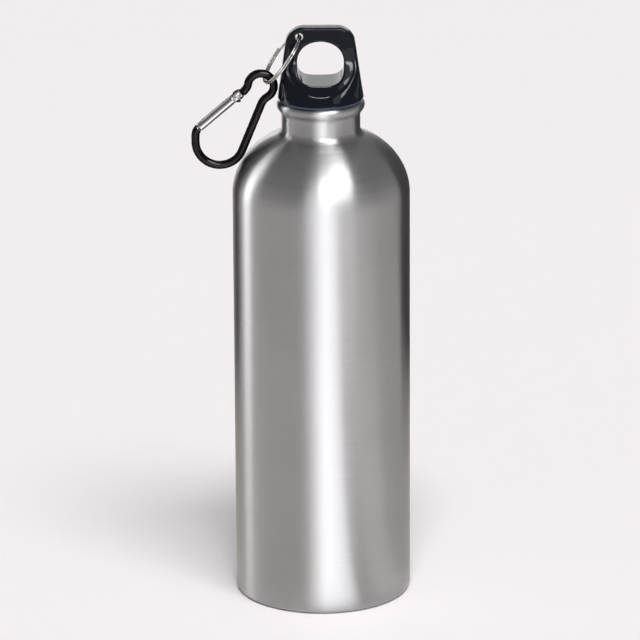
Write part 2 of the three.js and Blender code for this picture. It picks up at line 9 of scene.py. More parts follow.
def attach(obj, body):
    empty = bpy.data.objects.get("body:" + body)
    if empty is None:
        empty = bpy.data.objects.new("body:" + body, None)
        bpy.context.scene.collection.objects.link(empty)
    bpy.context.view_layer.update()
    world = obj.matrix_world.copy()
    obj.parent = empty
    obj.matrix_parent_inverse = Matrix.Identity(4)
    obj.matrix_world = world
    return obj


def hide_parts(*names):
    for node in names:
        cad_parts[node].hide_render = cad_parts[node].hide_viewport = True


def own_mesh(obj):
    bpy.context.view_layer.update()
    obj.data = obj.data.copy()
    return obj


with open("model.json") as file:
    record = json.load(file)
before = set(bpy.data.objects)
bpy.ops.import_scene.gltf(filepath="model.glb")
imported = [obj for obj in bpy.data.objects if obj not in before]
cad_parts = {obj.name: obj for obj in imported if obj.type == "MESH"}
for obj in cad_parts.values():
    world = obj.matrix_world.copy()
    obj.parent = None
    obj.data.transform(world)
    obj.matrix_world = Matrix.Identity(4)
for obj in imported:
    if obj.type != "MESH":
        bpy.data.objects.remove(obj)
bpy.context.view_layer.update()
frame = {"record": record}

bl_info = {
    "name": "Loop Cap Bottle",
    "version": (1, 0, 0),
    "blender": (4, 5, 0),
    "location": "3D View > Sidebar > Bottle",
    "description": "Dresses an aluminium drinking bottle with its loop cap, split ring and snap hook",
    "category": "Object",
}

JOINTS = {joint["name"]: joint for joint in frame["record"]["behaviour"]["joints"]}

# Shapes are worked out in millimetres and stored in metres.
MM = 0.001

# Bottle shell
BODY_R = 36.5
WALL = 0.8
BASE_EDGE_R = 2.0
BASE_PANEL_R = 25.5
BASE_PANEL_Z = 1.2
BASE_PANEL_SLOPE = 1.8
BASE_RING_R = 33.9
BASE_ROUND = 0.8
BASE_THICKNESS = 1.4
INSIDE_CORNER_R = 2.4
INSIDE_CORNER_RISE = 8
SHOULDER_Z = 172.35
SHOULDER_RX = 31.42
SHOULDER_RZ = 27.44
NECK_R = 16.16
NECK_FILLET_R = 3.4
LIP_FLARE_Z = 205.4
LIP_R = 18.05
LIP_WIDEST_Z = 210.2
LIP_TOP_Z = 211.75
LIP_TOP_R = 16.57
LIP_INNER_R = 16.2
LIP_EDGE_DEPTH = 1.5
LIP_EDGE_ROUND = 0.35
SHELL_SEGMENTS = 192

# Neck insert, seal and plug; a plain length is left below and above a thread
INSERT_BOTTOM_Z = 199.8
INSERT_DROP = 0.3
INSERT_FLARE = 0.25
INSERT_PLAIN = (0.5, 0.6)
INSERT_RUN_IN = 1.2
PLUG_BORE_R = 11.2
PLUG_BOTTOM_Z = 200.6
PLUG_ROOF = 1.3
PLUG_COLLAR_R = 13.35
PLUG_COLLAR_Z = (210.9, 211.4)
PLUG_CHAMFER = (0.4, 0.5)
PLUG_ROUND = 0.5
PLUG_THREAD_Z = (201.3, 210.6)
PLUG_RUN_IN = 1.4
SEAL_INNER_R = 13.6
SEAL_OUTER_R = 16.7
SEAL_ROUND = 0.4
SEAL_SEGMENTS = 128
SEAT_GAP = 0.05
THREAD_PITCH = 4.0
THREAD_SEGMENTS = 120
THREAD_LEVELS = 64
# Half width of the thread's ridge and width of its flank, as shares of the pitch
RIDGE_HALF = 0.27
RIDGE_FLANK = 0.12
PLUG_ROOT_R = 12.75
PLUG_CREST_R = 13.95
INSERT_ROOT_R = 14.35
INSERT_CREST_R = 13.15

# Loop cap
CAP_BOTTOM_Z = 212.95
CAP_RIM_Z = 213.7
CAP_TOP_Z = 242.8
CAP_BASE_R = 17.55
CAP_NECK_HX = 14.25
CAP_CORNER_R = 6.5
CAP_TAB_HY = 3.0
CAP_TAB_Z = 235.0
CAP_SQUARE_Z = 231.0
CAP_SQUARENESS = 5
CAP_BLEND = (11, 2)
CAP_SWEEP_POWER = 1.85
CAP_RIM_ROUND = 0.35
CAP_SOCKET_R = 16.8
CAP_SOCKET_Z = 213.3
HOLE_Z = 228.2
HOLE_HX = 9.55
HOLE_RISE = 8.55
HOLE_DROP = 8.45
ARCH_POWER = 2.1
FLOOR_POWER = 3.2
DISH_Z = 226.4
DISH_HX = 13.2
DISH_HZ = 10.1
DISH_FADE_Z = 219.0
DISH_END_Z = 228.0
DISH_LIFT = 0.4
DISH_ROUND = 0.7
RING_HOLE_R = 1.65
RING_HOLE_ROUND = 0.4

# Split ring
RING_R = 11.9
RING_SET = 0.15
RING_TURNS = 1.75
RING_PITCH = 0.85
RING_LEAN = math.radians(234.4)
RING_TILT = math.radians(4.4)
RING_WIRE_ROUND = 0.22
RING_STEPS = 168

# Snap hook
ROD_R = 1.7
BOW = (-41.5, 194.0)
BOW_R = 9.9
BOW_START = math.radians(178)
SPINE_LEAN = math.radians(22.2)
SPINE_TOP_Z = 209.8
EYE = (-24.4, 217.6)
EYE_R = 5.3
EYE_START = math.radians(-58)
EYE_END = math.radians(172)
# Lengths of the easing between the rod's bends
NOSE_EASE = 2.2
BOW_EASE = 1.8
SPINE_EASE = 1.6
EYE_EASE = 1.3
ARM_EASE = 0.8
EAR_HALF_WIDTH = 2.1
EAR_REACH = 3
EAR_TAPER = 0.8
EAR_TAPER_START = 1.2
EAR_FILLET = 0.5
EAR_HALF_THICKNESS = 0.6
EAR_SHOULDER = 2.8
ARM_RISE = math.radians(34)
EAR_HOLE_R = 0.8
GATE_SLOPE = math.radians(40.5)
GATE_R = 1.85
GATE_LENGTH = 20.4
GATE_FLAT_Y = 1.5
GATE_FLAT_LENGTH = 2.1
FORK_HALF_GAP = 0.9
FORK_DEPTH = 3.1
FORK_END = 2.0
GATE_BORE_R = 1.05
GATE_BORE_END = 14.2
CAM_RISE_PER_RAD = 0.86
CAM_SPAN = math.radians(48)
NOSE_GAP = 0.5
NOSE_CUT_HALF_WIDTH = 2.6
# Half length of the cuts that end the rod at the nose and at the ear
ROD_CUT = 3
TONGUE_START = 18.5
TONGUE_HALF_LENGTH = 1.75
TONGUE_HALF_THICKNESS = 0.45
TONGUE_INNER = 0.35
TONGUE_OUTER = 0.85
SLOT_CLEARANCE = 0.35
RIVET_SHAFT_R = 0.62
RIVET_HEAD_R = 1.45
RIVET_HEAD_HEIGHT = 0.5
RIVET_SEAT_GAP = 0.12
PLUNGER_R = 0.8
PLUNGER_TIP = 2.55
PLUNGER_LENGTH = 3.5
SPRING_R = 0.6
SPRING_WIRE_R = 0.175
SPRING_CURLS = 8
SPRING_PITCH = 0.88
SPRING_START = 6.5
SPRING_STEPS = 24
SPRING_WIRE_SIDES = 10
SPRING_STEEL = (0.55, 0.55, 0.56)
PLUG_BLACK = (0.012, 0.012, 0.013)


def joint_place(name):
    """Rest place of a hinge, in millimetres."""
    return np.array(JOINTS[name]["pos_m"]) / MM


PIVOT = joint_place("gate_open")
RING_HOLE = joint_place("ring_swing")


# Shaping


def arc(centre, radii, start, end, steps):
    """Points of an elliptic arc in a profile, both ends included."""
    angle = np.linspace(start, end, steps + 1)
    return np.column_stack((centre[0] + radii[0] * np.cos(angle), centre[1] + radii[1] * np.sin(angle)))


def rounded(corners, radius, steps=4):
    """A profile whose inner corners are rounded; its two ends stay."""
    corners = np.array(corners, float)
    points = [corners[0]]
    for before, corner, after in zip(corners, corners[1:], corners[2:]):
        towards, onward = before - corner, after - corner
        reach = min(radius, np.linalg.norm(towards) * 0.45, np.linalg.norm(onward) * 0.45)
        first = corner + towards / np.linalg.norm(towards) * reach
        last = corner + onward / np.linalg.norm(onward) * reach
        for share in np.linspace(0, 1, steps + 1):
            points.append((1 - share) ** 2 * first + 2 * share * (1 - share) * corner + share**2 * last)
    points.append(corners[-1])
    return np.array(points)


def turn_about_z(radius, heights, looped):
    """Surface through profiles set round Z; each row of radius is one profile."""
    segments, count = radius.shape
    angle = np.arange(segments) * 2 * np.pi / segments
    points = np.zeros((segments, count, 3))
    points[:, :, 0] = np.cos(angle)[:, None] * radius
    points[:, :, 1] = np.sin(angle)[:, None] * radius
    points[:, :, 2] = heights
    faces = []
    for k in range(segments):
        here, there = k * count, (k + 1) % segments * count
        for i in range(count if looped else count - 1):
            j = (i + 1) % count
            faces.append((here + i, there + i, there + j, here + j))
    return points.reshape(-1, 3), faces


def revolve(profile, segments, looped=False):
    """Turns an (r, z) profile about Z. A looped profile joins its last point to its first."""
    radius, heights = np.array(profile, float).T
    return turn_about_z(np.tile(radius, (segments, 1)), heights, looped)


def weld_poles(points, faces):
    """Merges points that share a place and drops the faces that collapse."""
    _, first, to = np.unique(np.round(points, 5), axis=0, return_index=True, return_inverse=True)
    to = to.ravel()
    kept = []
    for face in faces:
        loop = []
        for corner in (to[i] for i in face):
            if corner not in loop:
                loop.append(int(corner))
        if len(loop) > 2:
            kept.append(tuple(loop))
    return points[first], kept


def sweep(rings):
    """Joins rings of equal point counts into a tube with closed ends."""
    rings = np.array(rings)
    steps, count = rings.shape[:2]
    faces = []
    for k in range(steps - 1):
        for i in range(count):
            j = (i + 1) % count
            faces.append((k * count + i, k * count + j, (k + 1) * count + j, (k + 1) * count + i))
    faces.append(tuple(reversed(range(count))))
    faces.append(tuple((steps - 1) * count + i for i in range(count)))
    return rings.reshape(-1, 3), faces


def round_meet(a, b, radius):
    """Common part of two solids, given as distances, with a rounded edge."""
    inside = np.minimum(np.maximum(a, b), -radius)
    return inside + np.hypot(np.maximum(a + radius, 0), np.maximum(b + radius, 0))


def round_join(a, b, radius):
    """Both solids together, with a fillet where they meet."""
    return -round_meet(-a, -b, radius)


def smooth_step(low, high, value):
    """Rises smoothly from 0 at low to 1 at high."""
    share = np.clip((value - low) / (high - low), 0, 1)
    return share * share * (3 - 2 * share)


def slope_of(field, points, reach=0.01):
    """Gradient of a distance field at points."""
    columns = []
    for axis in range(3):
        step = np.zeros(3)
        step[axis] = reach
        columns.append((field(*(points + step).T) - field(*(points - step).T)) / (2 * reach))
    return np.stack(columns, 1)


def skin(field, low, high, step):
    """Quads of the surface where a distance field is zero, with each point drawn onto it."""
    low = np.array(low, float)
    axes = [np.arange(a, b + step, step) for a, b in zip(low, high)]
    value = field(*np.meshgrid(*axes, indexing="ij"))
    inside = value < 0
    shape = np.array(value.shape)
    cells = tuple(shape - 1)
    total = np.zeros((*cells, 3))
    count = np.zeros(cells)
    for axis in range(3):
        u, v = (axis + 1) % 3, (axis + 2) % 3
        for du in (0, 1):
            for dv in (0, 1):
                start, stop = [None] * 3, [None] * 3
                start[axis], stop[axis] = slice(0, -1), slice(1, None)
                start[u] = stop[u] = slice(du, du + cells[u])
                start[v] = stop[v] = slice(dv, dv + cells[v])
                a, b = value[tuple(start)], value[tuple(stop)]
                crossed = (a < 0) != (b < 0)
                total[..., axis] += np.where(crossed, a / np.where(crossed, a - b, 1), 0)
                total[..., u] += crossed * du
                total[..., v] += crossed * dv
                count += crossed
    used = count > 0
    index = np.full(cells, -1)
    index[used] = np.arange(used.sum())
    points = low + (np.argwhere(used) + total[used] / count[used][:, None]) * step
    quads = []
    for axis in range(3):
        u, v = (axis + 1) % 3, (axis + 2) % 3
        start, stop = [slice(1, -1)] * 3, [slice(1, -1)] * 3
        start[axis], stop[axis] = slice(0, -1), slice(1, None)
        a, b = inside[tuple(start)], inside[tuple(stop)]
        edge = np.argwhere(a != b)
        edge[:, u] += 1
        edge[:, v] += 1
        step_u, step_v = np.eye(3, dtype=int)[u], np.eye(3, dtype=int)[v]
        around = [edge - step_u - step_v, edge - step_v, edge, edge - step_u]
        quad = np.stack([index[tuple(cell.T)] for cell in around], 1)
        outward = a[a != b]
        quad[~outward] = quad[~outward][:, ::-1]
        quads.append(quad)
    for _ in range(4):
        slope = slope_of(field, points)
        move = (field(*points.T) / np.maximum((slope**2).sum(1), 0.05))[:, None] * slope
        length = np.linalg.norm(move, axis=1, keepdims=True)
        points -= move * np.minimum(1, 0.5 * step / np.maximum(length, 1e-9))
    return points, np.concatenate(quads)


def outward_faces(points, faces):
    """Turns the faces round if they enclose a negative volume."""
    volume = 0.0
    for face in faces:
        a = points[face[0]]
        for p, q in zip(face[1:], face[2:]):
            volume += np.dot(a, np.cross(points[p], points[q]))
    return faces if volume > 0 else [tuple(reversed(face)) for face in faces]


def add_object(name, data):
    """A new object, linked into the scene."""
    thing = bpy.data.objects.new(name, data)
    bpy.context.scene.collection.objects.link(thing)
    return thing


def add_mesh(name, points, faces, finish):
    """A mesh object with one finish; points are in metres."""
    mesh = bpy.data.meshes.new(name)
    mesh.from_pydata(points, [], faces)
    mesh.materials.append(finish)
    return add_object(name, mesh)


def add_sheet(name, half_x, half_y, finish):
    """A flat rectangle about its own middle."""
    corners = [(-half_x, -half_y, 0), (half_x, -half_y, 0), (half_x, half_y, 0), (-half_x, half_y, 0)]
    return add_mesh(name, corners, [(0, 1, 2, 3)], finish)


def add_piece(name, shape, finish, body, node, sharp=35):
    """Makes a piece that rides on a body and stands for a node; sharp is in degrees."""
    points, faces = shape
    if not len(faces):
        raise RuntimeError(f"{name} came out empty")
    if not isinstance(faces, np.ndarray):
        faces = outward_faces(points, faces)
    loops = [list(map(int, face)) for face in faces]
    piece = add_mesh(name, (np.array(points) * MM).tolist(), loops, finish)
    piece.data.update()
    piece.data.shade_smooth()
    piece.data.set_sharp_from_angle(angle=math.radians(sharp))
    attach(piece, body)
    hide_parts(node)
    return piece


# Finishes

# Half width of the cap's parting line, and how far the bare metal reaches into and round the hook's nose,
# each with the place where it starts to fade and where it ends, in metres
PARTING_EDGE = (0.00006, 0.00022)
WORN_DEPTH = (0.0002, 0.0004)
WORN_REACH = (0.0032, 0.0036)
# Sockets of Blender's colour mix: first colour, second colour and result
MIX_A, MIX_B, MIX_RESULT = 6, 7, 2


def start_finish(name, color, roughness, metallic=0.0, **constants):
    """A node material with its plain values on the shader's own sockets."""
    material = bpy.data.materials.new(name)
    material.use_nodes = True
    tree = material.node_tree
    shader = tree.nodes["Principled BSDF"]
    shader.inputs["Base Color"].default_value = (*color, 1)
    shader.inputs["Roughness"].default_value = roughness
    shader.inputs["Metallic"].default_value = metallic
    for socket, value in constants.items():
        shader.inputs[socket.replace("_", " ")].default_value = value
    return material, tree, shader


def add_node(tree, kind, values=None, **settings):
    """A shader node with its settings and the plain values of its sockets."""
    node = tree.nodes.new(kind)
    for key, value in settings.items():
        setattr(node, key, value)
    for socket, value in (values or {}).items():
        node.inputs[socket].default_value = value
    return node


def combine(tree, operation, *sources, kind="ShaderNodeMath"):
    """Result of a maths node; each source is a socket or a plain value."""
    node = add_node(tree, kind, operation=operation)
    for socket, source in zip(node.inputs, sources):
        if isinstance(source, bpy.types.NodeSocket):
            tree.links.new(source, socket)
        else:
            socket.default_value = source
    return node.outputs["Value"]


def own_place(tree):
    """The piece's own coordinates, in metres."""
    return add_node(tree, "ShaderNodeTexCoord").outputs["Object"]


def split(tree, vector):
    """The X, Y and Z of a vector."""
    node = add_node(tree, "ShaderNodeSeparateXYZ")
    tree.links.new(vector, node.inputs["Vector"])
    return node.outputs


def grain(tree, fineness, detail=2.0):
    """Noise over the piece's own coordinates; its fineness is per metre, one value or X, Y and Z."""
    scale = fineness if isinstance(fineness, tuple) else (fineness,) * 3
    mapping = add_node(tree, "ShaderNodeMapping", {"Scale": scale})
    noise = add_node(tree, "ShaderNodeTexNoise", {"Scale": 1.0, "Detail": detail})
    tree.links.new(own_place(tree), mapping.inputs["Vector"])
    tree.links.new(mapping.outputs["Vector"], noise.inputs["Vector"])
    return noise.outputs["Fac"]


def spread(tree, source, low, high, from_low=0.3, from_high=0.7):
    """Maps a grain onto a range of values."""
    values = {"From Min": from_low, "From Max": from_high, "To Min": low, "To Max": high}
    node = add_node(tree, "ShaderNodeMapRange", values)
    tree.links.new(source, node.inputs["Value"])
    return node.outputs["Result"]


def tint(tree, source, color, dark, light):
    """Colour between a darker and a lighter shade of one colour, driven by a grain."""
    shades = {MIX_A: shade(color, dark), MIX_B: shade(color, light)}
    node = add_node(tree, "ShaderNodeMix", shades, data_type="RGBA")
    tree.links.new(source, node.inputs["Factor"])
    return node.outputs[MIX_RESULT]


def shade(color, factor):
    """A colour made lighter or darker, with its alpha."""
    return (*(min(1.0, part * factor) for part in color), 1)


def mottle(tree, shader, source, color, dark, light):
    """Base colour that a grain varies about one colour."""
    tree.links.new(tint(tree, source, color, dark, light), shader.inputs["Base Color"])


def roughen(tree, shader, source, low, high):
    """Roughness that a grain varies."""
    tree.links.new(spread(tree, source, low, high), shader.inputs["Roughness"])


def relief(tree, shader, source, strength, depth):
    """Fine bump from a grain; depth is in metres."""
    node = add_node(tree, "ShaderNodeBump", {"Strength": strength, "Distance": depth})
    tree.links.new(source, node.inputs["Height"])
    tree.links.new(node.outputs["Normal"], shader.inputs["Normal"])


def brushed_aluminium(color, brushing):
    """Bare aluminium with fine lines that run round the bottle."""
    material, tree, shader = start_finish(
        "brushed_aluminium", color, 0.3, 1.0, Anisotropic=brushing, Anisotropic_Rotation=0.25
    )
    tangent = add_node(tree, "ShaderNodeTangent", direction_type="RADIAL", axis="Z")
    tree.links.new(tangent.outputs["Tangent"], shader.inputs["Tangent"])
    fine, broad = grain(tree, (26, 26, 3000)), grain(tree, (16, 16, 1500))
    cloud = grain(tree, (18, 18, 14), 3)
    streak = combine(tree, "MULTIPLY_ADD", broad, 0.4, spread(tree, fine, 0.0, 0.6))
    mottle(tree, shader, streak, color, 0.93, 1.07)
    lines, patches = spread(tree, streak, 0.325, 0.385), spread(tree, cloud, -0.02, 0.03)
    tree.links.new(combine(tree, "ADD", lines, patches), shader.inputs["Roughness"])
    relief(tree, shader, streak, 0.006, 0.00003)
    return material


def gloss_black_plastic(color):
    """Polished moulded plastic with a trace of flow ripple, handling haze and a parting line."""
    material, tree, shader = start_finish("gloss_black_plastic", color, 0.12, Specular_IOR_Level=0.15)
    haze, ripple = grain(tree, 160, 4), grain(tree, 330)
    roughen(tree, shader, haze, 0.045, 0.085)
    mottle(tree, shader, haze, color, 0.85, 1.25)
    off_middle = combine(tree, "ABSOLUTE", split(tree, own_place(tree))["Y"])
    parting = spread(tree, off_middle, 0.6, 0.0, *PARTING_EDGE)
    relief(tree, shader, combine(tree, "ADD", ripple, parting), 0.05, 0.0002)
    return material


def satin_plastic(name, color, roughness):
    """Plain moulded plastic with a fine spark-eroded texture."""
    material, tree, shader = start_finish(name, color, roughness)
    stipple, cloud = grain(tree, 3500), grain(tree, 120, 3)
    roughen(tree, shader, cloud, roughness - 0.06, roughness + 0.06)
    mottle(tree, shader, cloud, color, 0.9, 1.08)
    relief(tree, shader, stipple, 0.15, 0.00005)
    return material


def silicone(color):
    """Soft seal: matt, with a dusty bloom."""
    material, tree, shader = start_finish("slate_silicone", color, 0.55, Sheen_Weight=0.15)
    bloom = grain(tree, 900, 4)
    roughen(tree, shader, bloom, 0.45, 0.65)
    mottle(tree, shader, bloom, color, 0.8, 1.2)
    relief(tree, shader, bloom, 0.1, 0.00005)
    return material


def bright_metal(name, color, low, high, fineness):
    """Plated or drawn metal with light scratches; low and high are its roughness."""
    material, tree, shader = start_finish(name, color, low, 1.0)
    scratch, cloud = grain(tree, fineness, 3), grain(tree, 300, 3)
    roughen(tree, shader, scratch, low, high)
    mottle(tree, shader, cloud, color, 0.88, 1.05)
    relief(tree, shader, scratch, 0.08, 0.00003)
    return material


def black_anodised(color, bare):
    """Black anodised rod, worn to bare metal on the cut face of the nose."""
    material, tree, shader = start_finish("black_anodised", color, 0.2, 1.0, Specular_Tint=(0, 0, 0, 1))
    haze, draw = grain(tree, 500, 4), grain(tree, 900)
    place = own_place(tree)
    nose = on_gate(GATE_LENGTH + NOSE_GAP, 0) * MM
    along = (-math.cos(GATE_SLOPE), 0, -math.sin(GATE_SLOPE))
    offset = combine(tree, "DISTANCE", place, (nose[0], 0, nose[1]), kind="ShaderNodeVectorMath")
    level = combine(tree, "DOT_PRODUCT", place, along, kind="ShaderNodeVectorMath")
    face = nose[0] * along[0] + nose[1] * along[2]
    behind = spread(tree, level, 1.0, 0.0, *(face + edge for edge in WORN_DEPTH))
    near = spread(tree, offset, 1.0, 0.0, *WORN_REACH)
    mixed = add_node(tree, "ShaderNodeMix", {MIX_B: (*bare, 1)}, data_type="RGBA")
    tree.links.new(tint(tree, haze, color, 0.8, 1.3), mixed.inputs[MIX_A])
    tree.links.new(combine(tree, "MULTIPLY", behind, near), mixed.inputs["Factor"])
    tree.links.new(mixed.outputs[MIX_RESULT], shader.inputs["Base Color"])
    roughen(tree, shader, haze, 0.1, 0.17)
    relief(tree, shader, draw, 0.05, 0.00005)
    return material


def studio_floor(color):
    """Matt paper sweep."""
    material, tree, shader = start_finish("pale_paper", color, 0.85, Specular_IOR_Level=0.1)
    mottle(tree, shader, grain(tree, 90, 3), color, 0.995, 1.005)
    return material


# Bottle


def shoulder_touch(rx, rz, neck_r, fillet_r):
    """Angle on the shoulder, height of the fillet's centre and start of the fillet's turn."""
    centre_r = BODY_R - SHOULDER_RX
    low, high = 0.3, 1.5
    for _ in range(50):
        angle = (low + high) / 2
        normal = np.array((math.cos(angle) / rx, math.sin(angle) / rz))
        normal /= np.linalg.norm(normal)
        if centre_r + rx * math.cos(angle) + fillet_r * normal[0] > neck_r + fillet_r:
            low = angle
        else:
            high = angle
    height = SHOULDER_Z + rz * math.sin(low) + fillet_r * normal[1]
    return low, height, math.pi + math.atan2(normal[1], normal[0])


def shell_profile(wall):
    """Closed section of the bottle: outside from base to lip, then the inside back down."""
    centre = (BODY_R - SHOULDER_RX, SHOULDER_Z)
    rise, run = LIP_R - NECK_R, LIP_WIDEST_Z - LIP_FLARE_Z
    flare_r = (rise**2 + run**2) / (4 * rise)
    flare_turn = math.asin(run / 2 / flare_r)
    touch, fillet_z, turn = shoulder_touch(SHOULDER_RX, SHOULDER_RZ, NECK_R, NECK_FILLET_R)
    in_rx, in_rz = SHOULDER_RX - wall, SHOULDER_RZ - wall
    in_neck, in_fillet = NECK_R - wall, NECK_FILLET_R + wall
    in_touch, in_fillet_z, in_turn = shoulder_touch(in_rx, in_rz, in_neck, in_fillet)
    floor_z = BASE_PANEL_Z + BASE_THICKNESS
    panel = [(0, BASE_PANEL_Z), (BASE_PANEL_R, BASE_PANEL_Z), (BASE_PANEL_R + BASE_PANEL_SLOPE, 0)]
    base = rounded([*panel, (BASE_RING_R, 0)], BASE_ROUND)
    lip = (LIP_R - LIP_TOP_R, LIP_TOP_Z - LIP_WIDEST_Z)
    edge = (BODY_R - BASE_EDGE_R, BASE_EDGE_R)
    wall_rings = np.column_stack((np.full(11, BODY_R), np.linspace(BASE_EDGE_R, SHOULDER_Z, 13)[1:-1]))
    inner_r, inner_z = BODY_R - wall, floor_z + INSIDE_CORNER_RISE
    inner_corner = rounded([(inner_r, inner_z), (inner_r, floor_z), (0, floor_z)], INSIDE_CORNER_R, 6)
    mouth = [(LIP_INNER_R, LIP_TOP_Z), (in_neck, LIP_TOP_Z), (in_neck, LIP_TOP_Z - LIP_EDGE_DEPTH)]
    return np.concatenate((
        base,
        arc(edge, (BASE_EDGE_R, BASE_EDGE_R), -math.pi / 2, 0, 8),
        wall_rings,
        arc(centre, (SHOULDER_RX, SHOULDER_RZ), 0, touch, 40),
        arc((NECK_R + NECK_FILLET_R, fillet_z), (NECK_FILLET_R,) * 2, turn, math.pi, 14)[1:],
        arc((NECK_R + flare_r, LIP_FLARE_Z), (flare_r,) * 2, math.pi, math.pi - flare_turn, 8),
        arc((LIP_R - flare_r, LIP_WIDEST_Z), (flare_r,) * 2, -flare_turn, 0, 8)[1:],
        arc((LIP_TOP_R, LIP_WIDEST_Z), lip, 0, math.pi / 2, 10)[1:],
        rounded(mouth, LIP_EDGE_ROUND),
        arc((in_neck + in_fillet, in_fillet_z), (in_fillet,) * 2, math.pi, in_turn, 10),
        arc(centre, (in_rx, in_rz), in_touch, 0, 24)[1:],
        inner_corner,
    ))


def threaded_wall(low_z, high_z, root, crest, phase, run_in):
    """Round wall with one helical ridge of trapezoid section that fades in at both ends."""
    heights = np.linspace(low_z, high_z, THREAD_LEVELS)
    angle = np.arange(THREAD_SEGMENTS) * 2 * np.pi / THREAD_SEGMENTS
    height, turn = np.meshgrid(heights, angle)
    place = (height / THREAD_PITCH - turn / (2 * np.pi) + phase) % 1
    ridge = np.clip((RIDGE_HALF - np.abs(place - 0.5)) / RIDGE_FLANK, 0, 1)
    fade = smooth_step(low_z, low_z + run_in, height) * (1 - smooth_step(high_z - run_in, high_z, height))
    return heights, root + (crest - root) * ridge * fade


def revolve_wall(lower, wall, upper):
    """Solid of revolution whose middle wall varies round the turn; lower and upper are plain profiles."""
    heights, radius = wall
    below, above = (np.tile(part[:, 0], (len(radius), 1)) for part in (lower, upper))
    heights = np.concatenate((lower[:, 1], heights, upper[:, 1]))
    return weld_poles(*turn_about_z(np.concatenate((below, radius, above), 1), heights, looped=True))


def insert_shape():
    """Sleeve in the neck; its thread is half a pitch away from the plug's."""
    inner, outer = INSERT_ROOT_R + INSERT_FLARE, NECK_R - WALL - SEAT_GAP
    bottom, top = INSERT_BOTTOM_Z, LIP_TOP_Z - INSERT_DROP
    low, high = bottom + INSERT_PLAIN[0], top - INSERT_PLAIN[1]
    wall = threaded_wall(low, high, INSERT_ROOT_R, INSERT_CREST_R, 0.5, INSERT_RUN_IN)
    upper = [(inner, top), (outer, top), (outer, bottom), (inner, bottom)]
    return revolve_wall(np.zeros((0, 2)), wall, np.array(upper))


def plug_shape():
    """Hollow plug, open below, with a collar that the seal sits round."""
    bottom, top = PLUG_BOTTOM_Z, CAP_SOCKET_Z - SEAT_GAP
    wall = threaded_wall(*PLUG_THREAD_Z, PLUG_ROOT_R, PLUG_CREST_R, 0.0, PLUG_RUN_IN)
    lower = rounded(
        [(0, top - PLUG_ROOF), (PLUG_BORE_R, top - PLUG_ROOF), (PLUG_BORE_R, bottom),
         (PLUG_ROOT_R - PLUG_CHAMFER[0], bottom), (PLUG_ROOT_R, bottom + PLUG_CHAMFER[1])], PLUG_ROUND
    )
    collar_start, collar_end = PLUG_COLLAR_Z
    upper = [(PLUG_ROOT_R, collar_start), (PLUG_COLLAR_R, collar_end), (PLUG_COLLAR_R, top), (0, top)]
    return revolve_wall(lower, wall, np.array(upper))


def seal_shape():
    """Flat ring with rounded edges between lip and cap."""
    low, high = LIP_TOP_Z + SEAT_GAP, CAP_SOCKET_Z - SEAT_GAP
    middle = (low + high) / 2
    loop = rounded(
        [(SEAL_INNER_R, middle), (SEAL_INNER_R, low), (SEAL_OUTER_R, low), (SEAL_OUTER_R, high),
         (SEAL_INNER_R, high), (SEAL_INNER_R, middle)], SEAL_ROUND, 5
    )
    return revolve(loop[:-1], SEAL_SEGMENTS, looped=True)


# Cap


def rounded_section(x, y, half_x, half_y, power):
    """Distance in the level plane to a squared-off oval."""
    u, v = np.abs(x) / half_x, np.abs(y) / half_y
    whole = np.maximum((u**power + v**power) ** (1 / power), 1e-3)
    pull = np.hypot(u ** (power - 1) / half_x, v ** (power - 1) / half_y) * whole ** (1 - power)
    return (whole - 1) / np.maximum(pull, 1e-3)


def cap_field(dish_depth, edge_round, hole_round):
    """Distance field of the loop cap: swept body, dish, finger hole, ring hole and socket."""
    corner_z = CAP_TOP_Z - CAP_CORNER_R
    lean = (CAP_BASE_R - CAP_NECK_HX) / (corner_z - CAP_RIM_Z)

    def field(x, y, z):
        side = (np.abs(x) - CAP_NECK_HX + lean * (z - corner_z)) / math.hypot(1, lean)
        plan = round_meet(side, z - CAP_TOP_Z, CAP_CORNER_R)
        share = np.minimum((z - CAP_RIM_Z) / (CAP_TAB_Z - CAP_RIM_Z), 1)
        swing = (CAP_BASE_R - CAP_TAB_HY) * (1 - share) ** CAP_SWEEP_POWER
        fall = CAP_SWEEP_POWER * swing / np.maximum(1 - share, 1e-3) / (CAP_TAB_Z - CAP_RIM_Z)
        depth = CAP_TAB_HY + swing
        steep = np.hypot(1, fall)
        tab = round_meet(plan, (np.abs(y) - depth) / steep, edge_round)
        half_x = CAP_BASE_R - lean * (z - CAP_RIM_Z)
        power = 2 + CAP_SQUARENESS * smooth_step(CAP_RIM_Z, CAP_SQUARE_Z, z)
        skirt = rounded_section(x, y, half_x, depth, power) / steep
        start, end = (CAP_SQUARE_Z - below for below in CAP_BLEND)
        body = skirt + (tab - skirt) * smooth_step(start, end, z)
        body = round_meet(body, CAP_BOTTOM_Z - z, CAP_RIM_ROUND)
        inset = dish_depth - (dish_depth + DISH_LIFT) * smooth_step(DISH_FADE_Z, DISH_END_Z, z)
        core = rounded_section(x, y, half_x, depth - inset, power) / steep
        oval = (np.hypot(x / DISH_HX, (z - DISH_Z) / DISH_HZ) - 1) * DISH_HZ
        body = round_meet(body, np.minimum(-oval, core), DISH_ROUND)
        power = np.where(z > HOLE_Z, ARCH_POWER, FLOOR_POWER)
        reach = np.where(z > HOLE_Z, HOLE_RISE, HOLE_DROP)
        ring = (np.abs(x) / HOLE_HX) ** power + (np.abs(z - HOLE_Z) / reach) ** power
        body = round_meet(body, (1 - ring ** (1 / power)) * HOLE_HX, hole_round)
        ring_hole = RING_HOLE_R - np.hypot(x - RING_HOLE[0], z - RING_HOLE[2])
        body = round_meet(body, ring_hole, RING_HOLE_ROUND)
        socket = np.maximum(np.hypot(x, y) - CAP_SOCKET_R, z - CAP_SOCKET_Z)
        return np.maximum(body, -socket)

    return field


# Ring and hook


